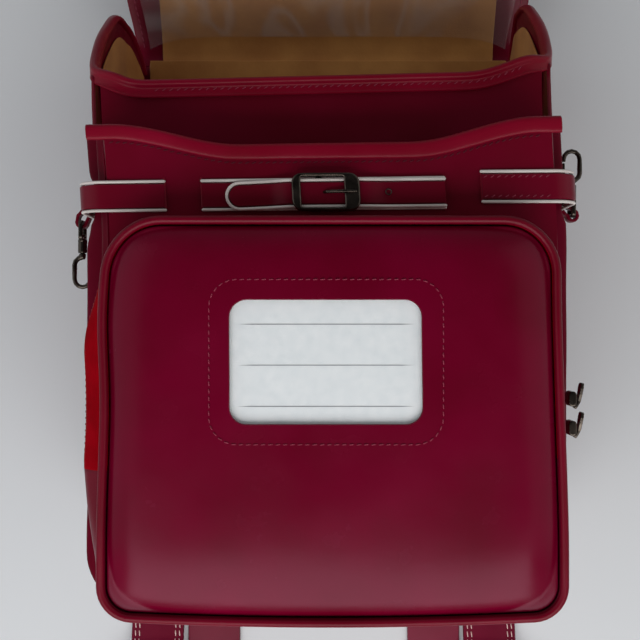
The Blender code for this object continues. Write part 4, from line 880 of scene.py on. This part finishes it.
def zipTeeth():
    # moulded teeth at 1.6 mm, alternating above and below the closed line of the zip
    line, normals = evenOutline(*zipRun(), 280)
    middle = pocket["z"] + pocket["depth"] / 2
    out = pocketSlump(line) - 1.1
    base = np.column_stack((line[:, 0] + pocket["x"] + normals[:, 0] * out, line[:, 1] + normals[:, 1] * out,
                            middle + 0.55 * np.where(np.arange(len(line)) % 2, 1, -1)))
    away = np.column_stack((normals, np.zeros(len(normals))))
    along = np.cross((0, 0, 1), away)
    shape = np.array([(a, b, c) for a in (-0.55, 0.55)
                      for b, c in ((0, -1.5), (0, 1.5), (1.2, 1.1), (1.2, -1.1))])
    points = (base[:, None] + shape[None, :, :1] * along[:, None] + shape[None, :, 1:2] * away[:, None]
              + shape[None, :, 2:] * np.array((0, 0, 1)))
    block = [(0, 1, 2, 3), (4, 7, 6, 5), (0, 4, 5, 1), (1, 5, 6, 2), (2, 6, 7, 3), (3, 7, 4, 0)]
    faces = [tuple(v + 8 * k for v in f) for k in range(len(line)) for f in block]
    declare(finishMesh("zipTeeth", settle(points).reshape(-1, 3), faces, zipCoil), "zip_red", "zip_teeth")


# belt and buckle
belt = {"y": 63.7, "rise": 2.8, "half": 6.3, "tilt": 0.006, "thick": 1.8, "edge": 0.8, "z": 167.3,
        "tip": -49.6, "tongueHalf": 5.5, "tongueThick": 1.6, "slits": (-82.0, -63.0, 58.6, 77.6),
        "buckleLeft": -18.0, "buckleWidth": 34.0, "sideOut": 125.7, "gap": 0.3}


def beltSection(half, thick):
    # flat strip with its long edges rounded
    a, t = half - 0.5, thick / 2
    return np.array(((-half, 0), (-a, -t), (a, -t), (half, 0), (a, t), (0.5 * a, t + 0.12), (-0.5 * a, t + 0.12),
                     (-a, t)))


def stripPiece(name, path, half, thick, material, across=(0, 1, 0), **options):
    path = np.asarray(path, float)
    across = np.array(across, float)
    along = np.gradient(path, axis=0)
    along -= (along @ across)[:, None] * across
    along /= np.linalg.norm(along, axis=1)[:, None]
    up = np.cross(along, across)
    up *= np.sign(up[len(up) // 2, 2] or 1.0)
    halves = np.broadcast_to(np.asarray(half, float), (len(path),))
    sections = np.array([beltSection(max(h, 0.6), thick) for h in halves])
    return loftPiece(name, sectionRings(path, sections, across, up), material, **options)


def tilted(y, x):
    # the fastened belt hangs a little lower towards its left end
    return y + belt["tilt"] * (np.asarray(x, float) - 60.0) * (np.asarray(x) < 60.0)


def sideBeltPath(side):
    # from the slit outwards, round the edge and down the side wall
    slitX = abs(belt["slits"][0] if side < 0 else belt["slits"][3])
    level, out = belt["z"] + belt["thick"] / 2, belt["sideOut"]
    turn = out - second["wallHalf"]
    angles = np.radians(np.linspace(90, 0, 14))
    path = [(slitX, level), (out - turn - 2, level)]
    path += [(out - turn + turn * math.cos(a), level - turn + turn * math.sin(a)) for a in angles]
    path += [(out, 76.6), (out, 49.0), (out - 1.75, 27.0), (out - 3.1, 18.6)]
    y = belt["y"] + (belt["rise"] if side > 0 else 0.0)
    return resample(np.array([(side * x, tilted(y, side * x), z) for x, z in path]), 90)


def tongueHeight(x):
    # flat on the belt, lifted over the buckle's bar
    low = belt["z"] + belt["thick"] + 0.3 + belt["tongueThick"] / 2
    high = belt["z"] + belt["thick"] + 0.6 + 1.9 + belt["tongueThick"] / 2
    right = belt["buckleLeft"] + belt["buckleWidth"]
    share = smoothStep(belt["buckleLeft"] - 12, belt["buckleLeft"], x) * (1 - smoothStep(right, right + 16, x))
    return low + (high - low) * share


def beltRun(name, path):
    # one stretch of the belt, with a light piping along each edge
    node = "belt_" + name.lower()
    declare(stripPiece("belt" + name, path, belt["half"], belt["thick"], leather, soft=True), "leather", node)
    for edge, sign in (("top", 1), ("bottom", -1)):
        shift = np.array((0, sign * (belt["half"] + belt["gap"] + belt["edge"]), 0))
        declare(rodPiece(f"belt{name}Edge_{edge}", path + shift, belt["edge"], edgeWhite, up=(0, 1, 0), soft=True),
                "edge_white", f"{node}_edge_{edge}")


def beltPieces():
    beltRun("Left", sideBeltPath(-1))
    path = sideBeltPath(1)
    beltRun("Right", path)
    flat = path[np.abs(path[:, 0]) < second["wallHalf"] - 1]
    stitches = [flat + np.array((0, sign * (belt["half"] - 1.5), belt["thick"] / 2)) for sign in (1, -1)]
    level = belt["z"] + belt["thick"] / 2
    x = np.linspace(belt["slits"][1], belt["slits"][2], 80)
    middle = np.column_stack((x, tilted(belt["y"], x), np.full(80, level)))
    beltRun("Center", middle)
    declare(stitchPiece("beltStitches", stitches, (0, 0, 1), threadRed, length=2.2, pitch=3.2, radius=0.28,
                        slant=30, soft=True), "leather")

    half = belt["tongueHalf"]
    tip = belt["tip"] + half * (1 - np.cos(np.radians(np.linspace(8, 88, 14))))
    x = np.concatenate((tip, np.linspace(belt["tip"] + half + 1, belt["slits"][2], 90)))
    halves = np.where(x < belt["tip"] + half, np.sqrt(np.maximum(half**2 - (belt["tip"] + half - x) ** 2, 0.2)), half)
    droop = -0.9 * smoothStep(belt["buckleLeft"], belt["tip"], x)
    path = np.column_stack((x, tilted(belt["y"], x) + droop, tongueHeight(x)))
    declare(stripPiece("beltTongue", path, halves, belt["tongueThick"], leather, soft=True), "leather", "belt_tongue")
    rim, normals = evenOutline(((belt["slits"][2], belt["y"] + half), (belt["tip"], belt["y"] + half),
                                (belt["tip"], belt["y"] - half), (belt["slits"][2], belt["y"] - half)),
                               (0, 0.98 * half, 0.98 * half, 0), 200)
    rim = rim + normals * (belt["gap"] + belt["edge"])
    rim[:, 1] += tilted(0.0, rim[:, 0]) - 0.9 * smoothStep(belt["buckleLeft"], belt["tip"], rim[:, 0])
    rim = np.column_stack((rim, tongueHeight(rim[:, 0])))
    declare(rodPiece("tongueEdge", rim, belt["edge"], edgeWhite, soft=True), "edge_white", "belt_tongue_edge")
    # eyelet ring of the free hole
    turn = np.linspace(0, 2 * math.pi, 28, endpoint=False)
    ring = np.column_stack((30.2 + 1.4 * np.cos(turn), belt["y"] + 1.4 * np.sin(turn), np.full(28, 172.5)))
    declare(rodPiece("tongueHole", ring, 0.3, gunmetal, closed=True, soft=True), "gunmetal")


def hardware():
    declare(castPiece("buckle_frame", gunmetal, 0.3, 34), "gunmetal")
    for node in ("buckle_prong", "hook_left_eye", "hook_right_eye", "zip_slider_upper",
                 "zip_slider_lower"):
        declare(castPiece(node, gunmetal, 0.35), "gunmetal")
    for node, rider in (("hook_left", "hook_left_body"), ("hook_right", "hook_right_body"),
                        ("hook_left_gate", "hook_left_gate_body"), ("hook_right_gate", "hook_right_gate_body"),
                        ("zip_pull_upper", "zip_pull_upper_body"), ("zip_pull_lower", "zip_pull_lower_body")):
        declare(castPiece(node, gunmetal, 0.25, 4, rider), "gunmetal")
    for node in ("hook_left_tab", "hook_right_tab"):
        declare(castPiece(node, leather, 0.4, 4), "leather")
    for node in ("lock_body", "lock_plate", "strap_bracket"):
        declare(castPiece(node, gunmetal, 0.8, 6), "gunmetal")
    for node in ("strap_anchor_left", "strap_anchor_right"):
        declare(castPiece(node, leather, 0.7, 5), "leather")


# flap
flap = {"length": 500.0, "half": 127.0, "arch": 40.0, "tan": 105.5, "seam": 8.0, "thick": 2.2, "start": 162.3}
flapShares = (0, .012, .03, .05, .07, .095, .13, .17, .21, .26, .31, .36, .58, .78, .82, .85, .87, .88, .90, .975, 1)
flapHalves = (.953, .955, .96, .97, .985, 1, 1, 1, 1, 1, 1, 1, 1, 1, .975, .90, .72, .36, .29, .27, .17)
flapArches = (0, .02, .19, .42, .60, .78, .88, .82, .58, .26, .07, 0, 0, 0, 0, 0, 0, 0, 0, 0, 0)


def flapLevel(lengths):
    # the flap drops from the back panel to the floor and humps behind the hinge
    drop = 14.3 * np.clip(1 - lengths / 35.0, 0, 1) ** 2
    return drop + flap["arch"] * np.interp(lengths / flap["length"], flapShares, flapArches)


def flapSheet(name, lengths, halves, lift, thick, material, slot, node, wave=0.0, seed=40, scoop=0.0):
    across = np.sin(np.linspace(-math.pi / 2, math.pi / 2, 64))
    x = halves[:, None] * across[None, :]
    # scoop: the first edge curves away from the hinge in its middle
    fade = (1 - np.linspace(0, 1, len(lengths))) ** 5
    lengths = lengths[:, None] + scoop * fade[:, None] * (1 - across[None, :] ** 8)
    y = flap["start"] + lengths
    z = flapLevel(lengths) + lift
    flat = np.stack((x, y, np.zeros_like(x)), axis=-1)
    ripple = wave * (0.5 + 0.5 * ripples(flat, 46.0, seed))
    z = z + np.clip(ripple, 0.0, wave)
    lower = np.stack((x, y, z), axis=-1)
    upper = lower + np.array((0, 0, thick))
    return declare(sheetPiece(name, upper, lower, material), slot, node)


def flapPieces():
    lengths = np.linspace(0, flap["length"], 220)
    halves = flap["half"] * np.interp(lengths / flap["length"], flapShares, flapHalves)
    flapSheet("flapLeather", lengths, halves, 0.0, flap["thick"], leather, "leather", "flap")
    lined = np.linspace(4.0, 0.82 * flap["length"], 160)
    flapSheet("flapLining", lined, np.full(160, flap["tan"]), flap["thick"] + 0.3, 1.0, liningTan, "lining_tan",
              "flap_lining")
    film = np.linspace(11.2, 0.82 * flap["length"], 160)
    halves = flap["half"] * np.interp(film / flap["length"], flapShares, flapHalves) - flap["seam"]
    flapSheet("clearPocket", film, halves, flap["thick"] + 1.7, 0.5, clearSheet, "clear_film", "clear_pocket",
              wave=1.2, seed=40, scoop=7.5)
    inner = np.linspace(12.0, 400.0, 160)
    level = flapLevel(inner)
    edge = flap["half"] * np.interp(inner / flap["length"], flapShares, flapHalves) - 4.0
    rows = [np.column_stack((side * edge, flap["start"] + inner, level + flap["thick"])) for side in (-1, 1)]
    declare(stitchPiece("flapStitches", rows, (0, 0, 1), threadRed, length=3.0, pitch=4.0), "leather")


# straps
strap = {"width": 34.0, "thick": 3.7, "loopY": -250.0, "loopRadius": 13.0, "topY": 95.0, "endY": -112.0,
         "lines": {"left": (-0.364, -0.612, -0.913), "right": (0.364, 0.570, 0.868)}}


def strapPath(side):
    # down behind the back, out below the bag, over in a loop and back up under it
    topX, lowX, backX = (share * main["half"] for share in strap["lines"][side])
    level, radius = strap["thick"] / 2, strap["loopRadius"]
    path = [(topX, strap["topY"], level), (topX + 0.35 * (lowX - topX), 0.3 * strap["topY"], level),
            (topX + 0.8 * (lowX - topX), 0.55 * bodyBottom, level), (lowX, bodyBottom, level),
            (lowX, 0.8 * strap["loopY"], level), (lowX, 0.93 * strap["loopY"], level)]
    loop = [(strap["loopY"] - radius * math.sin(math.radians(a)), level + radius * (1 - math.cos(math.radians(a))))
            for a in (0, 22, 45, 68, 90, 112, 135, 158, 180)]
    loop += [(strap["loopY"] + s * 4.4 * radius, level + 2 * radius * (1 - float(smoothStep(0, 1, s))))
             for s in (0.25, 0.5, 0.75, 1.0)]
    for number, (y, z) in enumerate(loop):
        share = float(smoothStep(0, 0.8, number / (len(loop) - 1)))
        path.append((lowX + (backX - lowX) * share, y, z))
    path += [(backX, 1.1 * bodyBottom, level), (backX, strap["endY"], level)]
    return resample(np.array(path), 260)


def strapPieces():
    half, t = strap["width"] / 2, strap["thick"] / 2
    section = np.array(((-half, 0), (-half + 0.6, -t * 0.8), (-half + 2, -t), (half - 2, -t), (half - 0.6, -t * 0.8),
                        (half, 0), (half - 0.6, t * 0.8), (half - 2, t * 0.9), (half - 4, t * 0.8), (half - 6, t),
                        (0, t), (6 - half, t), (4 - half, t * 0.8), (2 - half, t * 0.9), (0.6 - half, t * 0.8)))
    for side in ("left", "right"):
        path = strapPath(side)
        along = np.gradient(path, axis=0)
        along[:, 0] = 0
        along /= np.linalg.norm(along, axis=1)[:, None]
        up = np.cross((1.0, 0, 0), along)
        rings = sectionRings(path, section, (1.0, 0, 0), up)
        piece = declare(loftPiece("strap" + side.capitalize(), rings, leatherDull), "leather", "strap_" + side)
        rows = [path + np.array((s * (half - inset), 0, 0)) + up * t * 0.86
                for s in (-1, 1) for inset in (2.7, 5.3)]
        for number, row in enumerate(rows):
            keep = row[2:-2]
            declare(stitchPiece(f"strap{side.capitalize()}Stitches{number}", [keep],
                                resampleDirections(path[2:-2], up[2:-2], keep, 5.0), threadPale,
                                length=3.6, pitch=5.0, slant=6), "leather")


def resampleDirections(path, ways, line, pitch):
    # the surface's direction at each stitch of a row
    total = np.linalg.norm(np.diff(line, axis=0), axis=1)
    marks = np.concatenate(([0.0], np.cumsum(total)))
    count = max(int(marks[-1] / pitch), 2)
    at = np.linspace(0, marks[-1], 2 * count + 1)[1::2]
    found = np.stack([np.interp(at, marks, ways[:, k]) for k in range(3)], axis=1)
    return found / np.linalg.norm(found, axis=1)[:, None]


for stage in (backPieces, mainPieces, mouthBinding, secondPieces, pocketPieces, beltPieces, hardware, flapPieces,
              strapPieces):
    stage()
    print("built:", stage.__name__)


# floor, lights and camera
view = {"x": -5.0, "y": 0.0, "height": 720.0, "lens": 61.8}


def softLight(name, at, aim, size, power, colour=(1.0, 1.0, 1.0)):
    data = bpy.data.lights.new(name, "AREA")
    data.shape = "RECTANGLE"
    data.size, data.size_y = size
    data.energy = power
    data.color = colour
    lamp = bpy.data.objects.new(name, data)
    lamp.location = toWorld(at)
    way = toWorld(aim) - toWorld(at)
    lamp.rotation_euler = Vector(way).to_track_quat("-Z", "Y").to_euler()
    bpy.context.scene.collection.objects.link(lamp)


floorMesh = bpy.data.meshes.new("floor")
floorMesh.from_pydata([(-3, -3, 0), (3, -3, 0), (3, 3, 0), (-3, 3, 0)], [], [(0, 1, 2, 3)])
floorMaterial, floorTree, floorShader, floorPlace = newMaterial("paleFloor", Roughness=0.85)
floorTone = addNode(floorTree, "ShaderNodeTexNoise", {"Scale": 3.0}, {"Vector": floorPlace})
colourBetween(floorTree, floorShader, (floorTone, "Fac"), "#d6d8da", "#dcdee0")
floorMesh.materials.append(floorMaterial)
floor = bpy.data.objects.new("floor", floorMesh)
bpy.context.scene.collection.objects.link(floor)

softLight("windowLight", (-30, -640, 820), (0, -60, 120), (1.3, 0.7), 9.2)
softLight("leftFill", (-1500, 350, 1100), (0, 0, 100), (2.0, 2.0), 6, (0.94, 0.97, 1.0))
softLight("rightFill", (1500, 350, 1100), (0, 0, 100), (2.0, 2.0), 6, (1.0, 0.97, 0.93))
# the room: dim straight above and brighter towards its walls, so that level leather stays deep in colour
world = bpy.data.worlds.new("studio")
world.use_nodes = True
sky = world.node_tree
heading = addNode(sky, "ShaderNodeTexCoord")
parts = addNode(sky, "ShaderNodeSeparateXYZ", {}, {"Vector": (heading, "Generated")})
room = addNode(sky, "ShaderNodeValToRGB", {}, {"Fac": (parts, "Z")})
room.color_ramp.elements[0].position = 0.15
room.color_ramp.elements[0].color = (0.52, 0.55, 0.58, 1)
room.color_ramp.elements[1].position = 0.9
room.color_ramp.elements[1].color = (0.055, 0.055, 0.06, 1)
sky.links.new(room.outputs["Color"], sky.nodes["Background"].inputs["Color"])
sky.nodes["Background"].inputs["Strength"].default_value = 0.74
bpy.context.scene.world = world
bpy.context.scene.view_settings.view_transform = "Standard"

cameraData = bpy.data.cameras.new("camera")
cameraData.lens = view["lens"]
cameraData.sensor_width = 36.0
camera = bpy.data.objects.new("camera", cameraData)
camera.location = toWorld((view["x"], view["y"], view["height"]))
bpy.context.scene.collection.objects.link(camera)
bpy.context.scene.camera = camera
